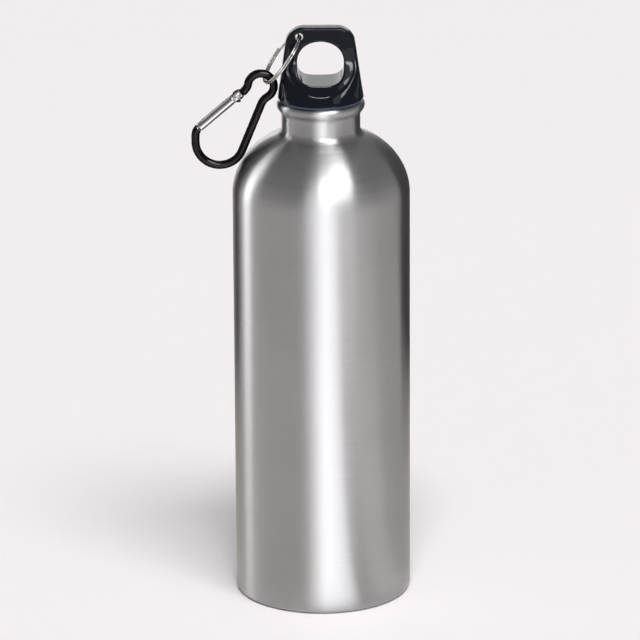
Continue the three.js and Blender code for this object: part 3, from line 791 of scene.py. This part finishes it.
def split_ring_shape(wire_axial, wire_radial):
    """Flat wire wound in less than two turns, starting inside the cap's hole."""
    out = np.array((math.cos(RING_LEAN), 0, math.sin(RING_LEAN)))
    level = np.array((-out[2], 0, out[0]))
    front = np.array((0.0, -math.cos(RING_TILT), 0.0)) + level * math.sin(RING_TILT)
    axis = np.cross(front, out)
    centre = RING_HOLE + out * (RING_R - RING_SET)
    flat = np.array((wire_radial, wire_axial)) / 2 - RING_WIRE_ROUND
    section = []
    for quarter, signs in enumerate(((1, 1), (-1, 1), (-1, -1), (1, -1))):
        start = quarter * math.pi / 2
        section.extend(arc(flat * signs, (RING_WIRE_ROUND,) * 2, start, start + math.pi / 2, 4))
    rings = []
    for turn in np.linspace(0, RING_TURNS, RING_STEPS + 1):
        angle = 2 * math.pi * turn
        radial = -math.cos(angle) * out + math.sin(angle) * front
        point = centre + radial * RING_R + axis * RING_PITCH * (0.5 - turn)
        rings.append([point + radial * r + axis * a for r, a in section])
    return sweep(rings)


def on_gate(along, outward):
    """Place in the hook's plane at a distance along the gate and outwards from it."""
    cosine, sine = math.cos(GATE_SLOPE), math.sin(GATE_SLOPE)
    return np.array((
        PIVOT[0] - along * cosine - outward * sine,
        PIVOT[2] - along * sine + outward * cosine,
    ))


def bezier(a, b, c, d, steps):
    """Points of a curve from a to d, drawn towards b and c."""
    t = np.linspace(0, 1, steps + 1)[:, None]
    return (1 - t) ** 3 * a + 3 * t * (1 - t) ** 2 * b + 3 * t**2 * (1 - t) * c + t**3 * d


def hook_line():
    """Centre line of the bent rod in X and Z, from the nose round the bow and eye to the ear."""
    nose, lead = (on_gate(GATE_LENGTH + NOSE_GAP + ease, 0) for ease in (0, NOSE_EASE))
    bow = arc(BOW, (BOW_R, BOW_R), BOW_START, 2 * math.pi - SPINE_LEAN, 36)
    along = np.array((math.sin(SPINE_LEAN), math.cos(SPINE_LEAN)))
    spine_top = bow[-1] + along * (SPINE_TOP_Z - bow[-1][1]) / along[1]
    eye = arc(EYE, (EYE_R, EYE_R), EYE_START, EYE_END, 40)
    eye_way = np.array((-math.sin(EYE_START), math.cos(EYE_START)))
    eye_out = np.array((-math.sin(EYE_END), math.cos(EYE_END)))
    arm = np.array((math.cos(ARM_RISE), math.sin(ARM_RISE)))
    shoulder = PIVOT[[0, 2]] + arm * EAR_SHOULDER
    return np.concatenate((
        bezier(nose, lead, bow[0] + (0, BOW_EASE), bow[0], 10),
        bow[1:],
        bezier(spine_top, spine_top + along * SPINE_EASE, eye[0] - eye_way * SPINE_EASE, eye[0], 10),
        eye[1:],
        bezier(eye[-1], eye[-1] + eye_out * EYE_EASE, shoulder + arm * ARM_EASE, shoulder, 10)[1:],
    )), arm


def hook_field():
    """Distance field of the hook: bent rod, flat ear with its cam, and the tongue that holds the gate."""
    line, arm = hook_line()
    starts, ends = line[:-1], line[1:]
    spans = ends - starts
    squares = (spans**2).sum(1)

    def field(x, y, z):
        nearest = np.full(np.shape(x), 1e9)
        for (ax, az), (dx, dz), square in zip(starts, spans, squares):
            share = np.clip(((x - ax) * dx + (z - az) * dz) / square, 0, 1)
            nearest = np.minimum(nearest, (x - ax - share * dx) ** 2 + (z - az - share * dz) ** 2)
        rod = np.sqrt(nearest + y**2) - ROD_R
        px, pz = x - PIVOT[0], z - PIVOT[2]
        u = -px * math.cos(GATE_SLOPE) - pz * math.sin(GATE_SLOPE)
        w = -px * math.sin(GATE_SLOPE) + pz * math.cos(GATE_SLOPE)
        past_nose = np.abs(u - GATE_LENGTH - NOSE_GAP + ROD_CUT) - ROD_CUT
        rod = round_meet(rod, -np.maximum(past_nose, np.abs(w) - NOSE_CUT_HALF_WIDTH), 0.2)
        out_arm, off_arm = px * arm[0] + pz * arm[1], px * arm[1] - pz * arm[0]
        past_shoulder = np.abs(out_arm - EAR_SHOULDER + ROD_CUT) - ROD_CUT
        rod = round_meet(rod, -np.maximum(past_shoulder, np.abs(off_arm) - ROD_CUT), 0.3)
        reach = np.clip(out_arm, 0, EAR_REACH)
        swing = np.clip(np.arctan2(-w, u), 0, CAM_SPAN)
        width = EAR_HALF_WIDTH + CAM_RISE_PER_RAD * swing * (reach < 1e-6)
        width -= EAR_TAPER * smooth_step(EAR_TAPER_START, EAR_REACH, reach)
        outline = np.hypot(px - reach * arm[0], pz - reach * arm[1]) - width
        ear = round_meet(outline, np.abs(y) - EAR_HALF_THICKNESS, 0.2)
        ear = round_meet(ear, EAR_HOLE_R - np.hypot(px, pz), 0.1)
        length = np.abs(u - TONGUE_START - TONGUE_HALF_LENGTH) - TONGUE_HALF_LENGTH
        tongue = np.maximum(length, np.abs(y) - TONGUE_HALF_THICKNESS)
        middle = (TONGUE_OUTER - TONGUE_INNER) / 2
        tongue = round_meet(tongue, np.abs(w - middle) - (TONGUE_OUTER + TONGUE_INNER) / 2, 0.15)
        return round_join(round_join(rod, ear, EAR_FILLET), tongue, 0.1)

    return field


def gate_field(u, y, w):
    """Distance field of the gate: fork, bore and nose slot cut into a round bar."""
    middle, half = (GATE_LENGTH - FORK_END) / 2, (GATE_LENGTH + FORK_END) / 2
    gate = round_meet(np.hypot(y, w) - GATE_R, np.abs(u - middle) - half, 0.2)
    gate = round_meet(gate, -np.maximum(u - GATE_FLAT_LENGTH, GATE_FLAT_Y - np.abs(y)), 0.15)
    gate = round_meet(gate, -np.maximum(u - FORK_DEPTH, np.abs(y) - FORK_HALF_GAP), 0.12)
    gate = np.maximum(gate, EAR_HOLE_R + 0.1 - np.hypot(u, w))
    bore = np.maximum(np.hypot(y, w) - GATE_BORE_R, np.abs(u - GATE_BORE_END / 2) - GATE_BORE_END / 2)
    gate = np.maximum(gate, -bore)
    slot = np.maximum(TONGUE_START - SLOT_CLEARANCE - u, np.abs(y) - TONGUE_HALF_THICKNESS - SLOT_CLEARANCE)
    return round_meet(gate, -np.maximum(slot, -TONGUE_INNER - SLOT_CLEARANCE - w), 0.15)


def along_gate(points):
    """Moves points from the gate's own axes (along, across, outward) into the part's frame."""
    points = np.array(points)
    place = np.array([on_gate(u, w) for u, _, w in points])
    return np.column_stack((place[:, 0], points[:, 1], place[:, 1]))


def rivet_shape():
    """Shaft through the fork with a dimpled head at each end."""
    seat = GATE_FLAT_Y + RIVET_SEAT_GAP
    top = seat + RIVET_HEAD_HEIGHT
    head = rounded(
        [(RIVET_HEAD_R, seat), (RIVET_HEAD_R, seat + 0.3), (RIVET_HEAD_R * 0.75, top),
         (RIVET_HEAD_R * 0.5, top - 0.25), (0, top - 0.3)], 0.16, 5
    )
    half = np.concatenate(([(RIVET_SHAFT_R, 0), (RIVET_SHAFT_R, seat)], head))
    profile = np.concatenate((half[::-1] * (1, -1), half[1:]))
    points, faces = weld_poles(*revolve(profile, 40))
    turned = np.column_stack((points[:, 0], points[:, 2], points[:, 1]))
    return turned + PIVOT, faces


def plunger_shape():
    """Round-ended pin in the gate's bore."""
    low, high = PLUNGER_TIP, PLUNGER_TIP + PLUNGER_LENGTH
    profile = rounded([(0, low), (PLUNGER_R, low), (PLUNGER_R, high), (0, high)], 0.5, 6)
    points, faces = weld_poles(*revolve(profile, 32))
    return along_gate(np.column_stack((points[:, 2], points[:, 0], points[:, 1]))), faces


def spring_shape():
    """Coil of round wire along the gate's bore."""
    rings = []
    lean = math.atan(SPRING_PITCH / (2 * math.pi * SPRING_R))
    wire = np.linspace(0, 2 * math.pi, SPRING_WIRE_SIDES, endpoint=False)
    for turn in np.linspace(0, SPRING_CURLS, SPRING_CURLS * SPRING_STEPS + 1):
        angle = 2 * math.pi * turn
        cosine, sine = math.cos(angle), math.sin(angle)
        radial = np.array((0, cosine, sine))
        across = np.array((math.cos(lean), math.sin(lean) * sine, -math.sin(lean) * cosine))
        point = np.array((SPRING_START + SPRING_WIRE_R + SPRING_PITCH * turn, 0, 0)) + radial * SPRING_R
        rings.append([point + SPRING_WIRE_R * (math.cos(t) * radial + math.sin(t) * across) for t in wire])
    points, faces = sweep(rings)
    return along_gate(points), faces


# Studio

VIEW_ELEVATION = 18.32
VIEW_DISTANCE = 2.114
VIEW_TARGET_Z = 0.115
VIEW_AIM = (-0.00078, 0.00167)
VIEW_ROLL = -0.331
FOCAL_PIXELS = 5095
IMAGE_PIXELS = 640
SENSOR_MM = 36.0
VIEW_REACH = 50
FLOOR_HALF = 8.0
# Azimuth, elevation and spread of each sun, in degrees, and its distance
SHADOW_SUN = (33.0, 58.0, 24.0)
FILL_SUN = (0.0, 60.0, 15.0)
SUN_DISTANCE = 2
# Each softbox: azimuth, distance and height; target; width and height; setting for its power; roll
SOFTBOXES = {
    "tall_softbox": ((34.3, 0.985, 1.51), (0.58, 0.286, 1.178), (0.72, 3.08), "tall", -28.9),
    "upper_strip": ((34, 1.0, 1.2), (0, 0, 0.2), (0.62, 0.26), "upper", 0),
    "spark": ((6, 1.1, 0.95), (0, 0, 0.22), (0.34, 0.11), "spark", 0),
    "back_softbox": ((178, 0.72, 1.12), (0, 0, 0.22), (0.32, 0.4), "back", 0),
    "left_strip": ((-109, 0.75, 0.36), (0, 0, 0.36), (0.2, 0.78), "strip", 0),
}
# Each dark card: azimuth, distance and height; target; width and height
FLAGS = {
    "left_flag": ((-132, 0.165, 0.19), (0, 0, 0.19), (0.066, 0.28)),
    "upper_flag": ((-144, 0.3, 0.42), (0, 0, 0.19), (0.106, 0.3)),
    "shoulder_flag": ((-150, 0.2, 0.27), (0, 0, 0.2), (0.063, 0.14)),
    "right_flag": ((140, 0.155, 0.15), (0, 0, 0.15), (0.158, 0.2)),
}
FLAG_BLACK = (0.09, 0.09, 0.093)
# The graded card, whose painted glow stands in for lit reflector paper: inner radius, outer radius and
# height;
# turn of its pattern per metre and at the middle, in radians; brightness by azimuth
GLOW = (0.042, 0.62, 0.0015)
GLOW_TURN = (0.45, -0.096)
GLOW_STEPS = (
    (-150, 0.55), (-107, 0.76), (-85, 0.84), (-30, 0.82), (-18, 1.0), (-12, 1.65), (-3, 2.65), (8, 2.8),
    (16, 2.6), (22, 2.3), (27, 0.84), (36, 0.9), (50, 1.24), (70, 1.2), (82, 0.9), (100, 0.76), (140, 0.62),
)
GLOW_SEGMENTS = 96
# Edge of the bright wall behind the bottle, as the Y of a direction
WALL_EDGE = (0.93, 0.958)


def around(azimuth, distance, height):
    """Place at an angle from the camera's direction, positive to the right of the picture."""
    angle = math.radians(azimuth)
    return Vector((math.sin(angle) * distance, -math.cos(angle) * distance, height))


def aim(thing, place, target, roll=0.0):
    """Points a thing from its place at a target and turns it about that line by roll, in degrees."""
    thing.location = place
    thing.rotation_mode = "QUATERNION"
    turn = Quaternion((0, 0, 1), math.radians(roll))
    thing.rotation_quaternion = (Vector(target) - place).to_track_quat("-Z", "Y") @ turn


def add_sun(name, direction, strength):
    """A wide sun that lights the floor evenly and stays out of reflections."""
    azimuth, elevation, spread_angle = direction
    lamp = bpy.data.lights.new(name, "SUN")
    lamp.energy = strength
    lamp.angle = math.radians(spread_angle)
    sun = add_object(name, lamp)
    rise = math.radians(elevation)
    aim(sun, around(azimuth, SUN_DISTANCE * math.cos(rise), SUN_DISTANCE * math.sin(rise)), (0, 0, 0))
    sun.visible_glossy = False


def add_softbox(name, place, target, size, power, roll):
    """A rectangular light that only reflections see."""
    lamp = bpy.data.lights.new(name, "AREA")
    lamp.shape = "RECTANGLE"
    lamp.size, lamp.size_y = size
    lamp.energy = power
    box = add_object(name, lamp)
    aim(box, place, target, roll)
    box.visible_camera = False
    box.visible_diffuse = False


def keep_to_reflections(card):
    """Hides a card from all but reflections."""
    card.visible_camera = False
    card.visible_diffuse = False
    card.visible_shadow = False


def graded_glow():
    """Glowing card, no lamp, whose painted brightness changes with the angle round the bottle; it stands in
    for lit reflector paper.
    """
    material = bpy.data.materials.new("graded_paper")
    material.use_nodes = True
    tree = material.node_tree
    tree.nodes.remove(tree.nodes["Principled BSDF"])
    place = own_place(tree)
    parts = split(tree, place)
    angle = combine(tree, "ARCTAN2", parts["X"], combine(tree, "MULTIPLY", parts["Y"], -1))
    # The pattern turns a little with distance, so the light band on the bottle leans.
    distance = combine(tree, "LENGTH", place, kind="ShaderNodeVectorMath")
    turned = combine(tree, "ADD", angle, combine(tree, "MULTIPLY_ADD", distance, *GLOW_TURN))
    grade = add_node(tree, "ShaderNodeValToRGB")
    tree.links.new(spread(tree, turned, 0.0, 1.0, -math.pi, math.pi), grade.inputs["Fac"])
    steps = grade.color_ramp.elements
    while len(steps) < len(GLOW_STEPS):
        steps.new(0.5)
    brightest = max(level for _, level in GLOW_STEPS)
    for step, (azimuth, level) in zip(steps, GLOW_STEPS):
        step.position = (azimuth + 180) / 360
        # Weak light is a little warm and strong light a little cool.
        grey = level / brightest
        step.color = (grey * (1.08 - 0.08 * grey), grey, grey * (0.94 + 0.09 * grey), 1)
    # The card glows: painted light that stands in for light off reflector paper.
    emission = add_node(tree, "ShaderNodeEmission", {"Strength": brightest})
    tree.links.new(grade.outputs["Color"], emission.inputs["Color"])
    tree.links.new(emission.outputs["Emission"], tree.nodes["Material Output"].inputs["Surface"])
    return material


def add_floor_card(name, reach, finish):
    """A flat ring round the foot of the bottle that only reflections see."""
    inner, outer, height = reach
    shape, faces = revolve([(inner, height), (outer, height)], GLOW_SEGMENTS)
    keep_to_reflections(add_mesh(name, shape.tolist(), faces, finish))


# Settings


class ShellSettings(bpy.types.PropertyGroup):
    wall: bpy.props.FloatProperty(
        name="Wall", description="Thickness of the aluminium wall", default=WALL * MM, unit="LENGTH"
    )
    metal: bpy.props.FloatVectorProperty(
        name="Metal", description="Colour of the bare aluminium", default=(0.42, 0.42, 0.425), subtype="COLOR"
    )
    brushing: bpy.props.FloatProperty(
        name="Brushing", description="How far brushing draws out reflections", default=0.96, subtype="FACTOR"
    )
    insert: bpy.props.FloatVectorProperty(
        name="Insert", description="Colour of the neck insert", default=(0.72, 0.72, 0.69), subtype="COLOR"
    )


class CapSettings(bpy.types.PropertyGroup):
    plastic: bpy.props.FloatVectorProperty(
        name="Plastic", description="Colour of the loop cap", default=(0.006, 0.0072, 0.0115), subtype="COLOR"
    )
    dish: bpy.props.FloatProperty(
        name="Dish", description="Depth of the dish below the finger hole", default=0.9 * MM, unit="LENGTH"
    )
    edge: bpy.props.FloatProperty(
        name="Edge", description="Rounding of the loop's outer edges", default=1.15 * MM, unit="LENGTH"
    )
    hole_edge: bpy.props.FloatProperty(
        name="Hole edge", description="Rounding of the finger hole", default=0.7 * MM, unit="LENGTH"
    )
    fineness: bpy.props.FloatProperty(
        name="Fineness", description="Size of the faces of the moulding", default=0.36 * MM, unit="LENGTH"
    )
    seal: bpy.props.FloatVectorProperty(
        name="Seal", description="Colour of the sealing ring", default=(0.065, 0.115, 0.2), subtype="COLOR"
    )


class RingSettings(bpy.types.PropertyGroup):
    wire_axial: bpy.props.FloatProperty(
        name="Wire height", description="Height of the ring's flat wire", default=0.65 * MM, unit="LENGTH"
    )
    wire_radial: bpy.props.FloatProperty(
        name="Wire width", description="Width of the ring's flat wire", default=1.1 * MM, unit="LENGTH"
    )
    steel: bpy.props.FloatVectorProperty(
        name="Steel", description="Colour of the split ring", default=(0.5, 0.49, 0.475), subtype="COLOR"
    )


class HookSettings(bpy.types.PropertyGroup):
    black: bpy.props.FloatVectorProperty(
        name="Black", description="Colour of the anodised rod", default=(0.021, 0.0195, 0.02), subtype="COLOR"
    )
    bare: bpy.props.FloatVectorProperty(
        name="Bare", description="Colour of the gate and rivet", default=(0.42, 0.42, 0.43), subtype="COLOR"
    )
    fineness: bpy.props.FloatProperty(
        name="Fineness", description="Size of the faces of the rod", default=0.28 * MM, unit="LENGTH"
    )
    gate_fineness: bpy.props.FloatProperty(
        name="Gate fineness", description="Size of the faces of the gate", default=0.17 * MM, unit="LENGTH"
    )


class StudioSettings(bpy.types.PropertyGroup):
    floor: bpy.props.FloatVectorProperty(
        name="Floor", description="Colour of the paper sweep", default=(0.896, 0.855, 0.871), subtype="COLOR"
    )
    sun: bpy.props.FloatProperty(
        name="Sun", description="Strength of the soft sun that casts the shadow", default=1.18
    )
    fill: bpy.props.FloatProperty(
        name="Fill", description="Strength of the fill sun behind the camera", default=1.48
    )
    tall: bpy.props.FloatProperty(
        name="Tall softbox", description="Power of the tall softbox in front", default=13.0, unit="POWER"
    )
    upper: bpy.props.FloatProperty(
        name="Upper strip", description="Power of the strip light on the right", default=9.0, unit="POWER"
    )
    spark: bpy.props.FloatProperty(
        name="Spark", description="Power of the small light high in front", default=3.2, unit="POWER"
    )
    back: bpy.props.FloatProperty(
        name="Back", description="Power of the softbox above and behind", default=4.5, unit="POWER"
    )
    strip: bpy.props.FloatProperty(
        name="Strip", description="Power of the strip light on the left", default=1.7, unit="POWER"
    )
    wall: bpy.props.FloatProperty(
        name="Back wall", description="Brightness of the white wall behind the bottle", default=1.6
    )
    room: bpy.props.FloatProperty(
        name="Room", description="Brightness of the surrounding room", default=0.26, subtype="FACTOR"
    )


class BottleSettings(bpy.types.PropertyGroup):
    shell: bpy.props.PointerProperty(type=ShellSettings, name="Shell", description="Shell and insert")
    cap: bpy.props.PointerProperty(type=CapSettings, name="Cap", description="Cap, plug and seal")
    ring: bpy.props.PointerProperty(type=RingSettings, name="Ring", description="Split ring")
    hook: bpy.props.PointerProperty(type=HookSettings, name="Hook", description="Snap hook")
    studio: bpy.props.PointerProperty(type=StudioSettings, name="Studio", description="Floor and light")


# Operators


class BOTTLE_OT_stage(bpy.types.Operator):
    """Set up the floor, the soft light and the camera"""

    bl_idname = "bottle.stage"
    bl_label = "Stage"

    def execute(self, context):
        studio = context.scene.bottle.studio
        scene = context.scene
        scene.view_settings.view_transform = "Standard"
        add_sheet("paper_sweep", FLOOR_HALF, FLOOR_HALF, studio_floor(tuple(studio.floor)))

        add_sun("shadow_sun", SHADOW_SUN, studio.sun)
        add_sun("fill_sun", FILL_SUN, studio.fill)
        for name, (place, target, size, power, roll) in SOFTBOXES.items():
            add_softbox(name, around(*place), target, size, getattr(studio, power), roll)
        # A glowing card round the foot, seen only in reflections: painted light standing in for lit reflector
        # paper.
        add_floor_card("graded_card", GLOW, graded_glow())
        dark, _, _ = start_finish("black_flag", FLAG_BLACK, 0.9)
        for name, (place, target, size) in FLAGS.items():
            flag = add_sheet(name, size[0] / 2, size[1] / 2, dark)
            aim(flag, around(*place), target)
            keep_to_reflections(flag)

        room = bpy.data.worlds.new("studio_room")
        room.use_nodes = True
        tree = room.node_tree
        back = tree.nodes["Background"]
        back.inputs["Color"].default_value = (1, 1, 1, 1)
        outward = split(tree, add_node(tree, "ShaderNodeTexCoord").outputs["Generated"])
        glow = spread(tree, outward["Y"], studio.room, studio.wall, *WALL_EDGE)
        tree.links.new(glow, back.inputs["Strength"])
        scene.world = room

        lens = bpy.data.cameras.new("photo_camera")
        lens.sensor_width = SENSOR_MM
        lens.lens = SENSOR_MM * FOCAL_PIXELS / IMAGE_PIXELS
        lens.clip_end = VIEW_REACH
        camera = add_object("photo_camera", lens)
        tilt = math.radians(VIEW_ELEVATION)
        middle = Vector((0, 0, VIEW_TARGET_Z))
        place = around(0, VIEW_DISTANCE * math.cos(tilt), VIEW_TARGET_Z + VIEW_DISTANCE * math.sin(tilt))
        ahead = (middle - place).normalized()
        right = ahead.cross(Vector((0, 0, 1))).normalized()
        up = right.cross(ahead)
        aim(camera, place, middle + right * VIEW_AIM[0] + up * VIEW_AIM[1], VIEW_ROLL)
        scene.camera = camera
        return {"FINISHED"}


class BOTTLE_OT_shell(bpy.types.Operator):
    """Make the brushed bottle shell"""

    bl_idname = "bottle.shell"
    bl_label = "Shell"

    def execute(self, context):
        shell = context.scene.bottle.shell
        shape = weld_poles(*revolve(shell_profile(shell.wall / MM), SHELL_SEGMENTS))
        finish = brushed_aluminium(tuple(shell.metal), shell.brushing)
        add_piece("brushed_shell", shape, finish, "bottle", "bottle_body")
        return {"FINISHED"}


class BOTTLE_OT_insert(bpy.types.Operator):
    """Make the neck insert with its thread"""

    bl_idname = "bottle.insert"
    bl_label = "Neck insert"

    def execute(self, context):
        finish = satin_plastic("natural_plastic", tuple(context.scene.bottle.shell.insert), 0.45)
        add_piece("threaded_insert", insert_shape(), finish, "bottle", "neck_thread_insert")
        return {"FINISHED"}


class BOTTLE_OT_seal(bpy.types.Operator):
    """Make the sealing ring under the cap"""

    bl_idname = "bottle.seal"
    bl_label = "Seal"

    def execute(self, context):
        finish = silicone(tuple(context.scene.bottle.cap.seal))
        add_piece("silicone_seal", seal_shape(), finish, "seal", "sealing_ring")
        return {"FINISHED"}


class BOTTLE_OT_cap(bpy.types.Operator):
    """Make the moulded loop cap and its threaded plug"""

    bl_idname = "bottle.cap"
    bl_label = "Cap"

    def execute(self, context):
        cap = context.scene.bottle.cap
        field = cap_field(cap.dish / MM, cap.edge / MM, cap.hole_edge / MM)
        reach = CAP_BASE_R + 1
        shape = skin(
            field, (-reach, -reach, CAP_BOTTOM_Z - 1), (reach, reach, CAP_TOP_Z + 1), cap.fineness / MM
        )
        finish = gloss_black_plastic(tuple(cap.plastic))
        add_piece("loop_cap", shape, finish, "cap", "cap_moulding", sharp=60)
        satin = satin_plastic("satin_black_plastic", PLUG_BLACK, 0.4)
        add_piece("threaded_plug", plug_shape(), satin, "cap", "thread_plug")
        return {"FINISHED"}


class BOTTLE_OT_ring(bpy.types.Operator):
    """Make the split ring"""

    bl_idname = "bottle.ring"
    bl_label = "Split ring"

    def execute(self, context):
        ring = context.scene.bottle.ring
        finish = bright_metal("bright_steel", tuple(ring.steel), 0.12, 0.26, 900)
        shape = split_ring_shape(ring.wire_axial / MM, ring.wire_radial / MM)
        add_piece("wound_split_ring", shape, finish, "ring", "split_ring")
        return {"FINISHED"}


class BOTTLE_OT_hook(bpy.types.Operator):
    """Make the snap hook's rod and pivot rivet"""

    bl_idname = "bottle.hook"
    bl_label = "Hook"

    def execute(self, context):
        hook = context.scene.bottle.hook
        line, _ = hook_line()
        low, high = line.min(0) - 3.2, line.max(0) + 3.2
        shape = skin(
            hook_field(), (low[0], -2.2, low[1]), (high[0], 2.2, high[1]), hook.fineness / MM
        )
        finish = black_anodised(tuple(hook.black), tuple(hook.bare))
        add_piece("anodised_hook", shape, finish, "carabiner", "carabiner_body", sharp=60)
        bright = bright_metal("rivet_aluminium", tuple(hook.bare), 0.14, 0.24, 1500)
        add_piece("pivot_rivet", rivet_shape(), bright, "carabiner", "gate_pivot_rivet")
        return {"FINISHED"}


class BOTTLE_OT_gate(bpy.types.Operator):
    """Make the gate with its spring and plunger"""

    bl_idname = "bottle.gate"
    bl_label = "Gate"

    def execute(self, context):
        hook = context.scene.bottle.hook
        points, faces = skin(
            gate_field, (-FORK_END - 0.8, -2.3, -2.3), (GATE_LENGTH + 0.8, 2.3, 2.3), hook.gate_fineness / MM
        )
        drawn = bright_metal("drawn_aluminium", tuple(hook.bare), 0.1, 0.18, (500, 4000, 700))
        # The gate's own axes are left-handed, so its faces turn round on the way into the part's frame.
        shape = along_gate(points), faces[:, ::-1]
        add_piece("slotted_gate", shape, drawn, "gate", "carabiner_gate", sharp=60)
        wire = bright_metal("spring_wire", SPRING_STEEL, 0.2, 0.32, 2500)
        spring = add_piece("coil_spring", spring_shape(), wire, "gate", "gate_spring")
        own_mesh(spring)
        add_piece("spring_pin", plunger_shape(), wire, "plunger", "spring_plunger")
        return {"FINISHED"}


STEPS = (
    BOTTLE_OT_stage,
    BOTTLE_OT_shell,
    BOTTLE_OT_insert,
    BOTTLE_OT_seal,
    BOTTLE_OT_cap,
    BOTTLE_OT_ring,
    BOTTLE_OT_hook,
    BOTTLE_OT_gate,
)


class BOTTLE_PT_panel(bpy.types.Panel):
    """Buttons for each piece of the bottle"""

    bl_idname = "BOTTLE_PT_panel"
    bl_label = "Loop Cap Bottle"
    bl_space_type = "VIEW_3D"
    bl_region_type = "UI"
    bl_category = "Bottle"

    def draw(self, context):
        for step in STEPS:
            self.layout.operator(step.bl_idname)
        settings = context.scene.bottle
        for group in (settings.shell, settings.cap, settings.ring, settings.hook, settings.studio):
            box = self.layout.box()
            for name in group.__annotations__:
                box.prop(group, name)


CLASSES = (
    ShellSettings,
    CapSettings,
    RingSettings,
    HookSettings,
    StudioSettings,
    BottleSettings,
    *STEPS,
    BOTTLE_PT_panel,
)


def register():
    for cls in CLASSES:
        bpy.utils.register_class(cls)
    bpy.types.Scene.bottle = bpy.props.PointerProperty(
        type=BottleSettings, name="Bottle", description="Sizes and colours of the bottle"
    )


def unregister():
    del bpy.types.Scene.bottle
    for cls in reversed(CLASSES):
        bpy.utils.unregister_class(cls)


def main():
    register()
    bpy.ops.bottle.stage()
    bpy.ops.bottle.shell()
    bpy.ops.bottle.insert()
    bpy.ops.bottle.seal()
    bpy.ops.bottle.cap()
    bpy.ops.bottle.ring()
    bpy.ops.bottle.hook()
    bpy.ops.bottle.gate()
    bpy.context.view_layer.update()


if __name__ == "__main__":
    main()
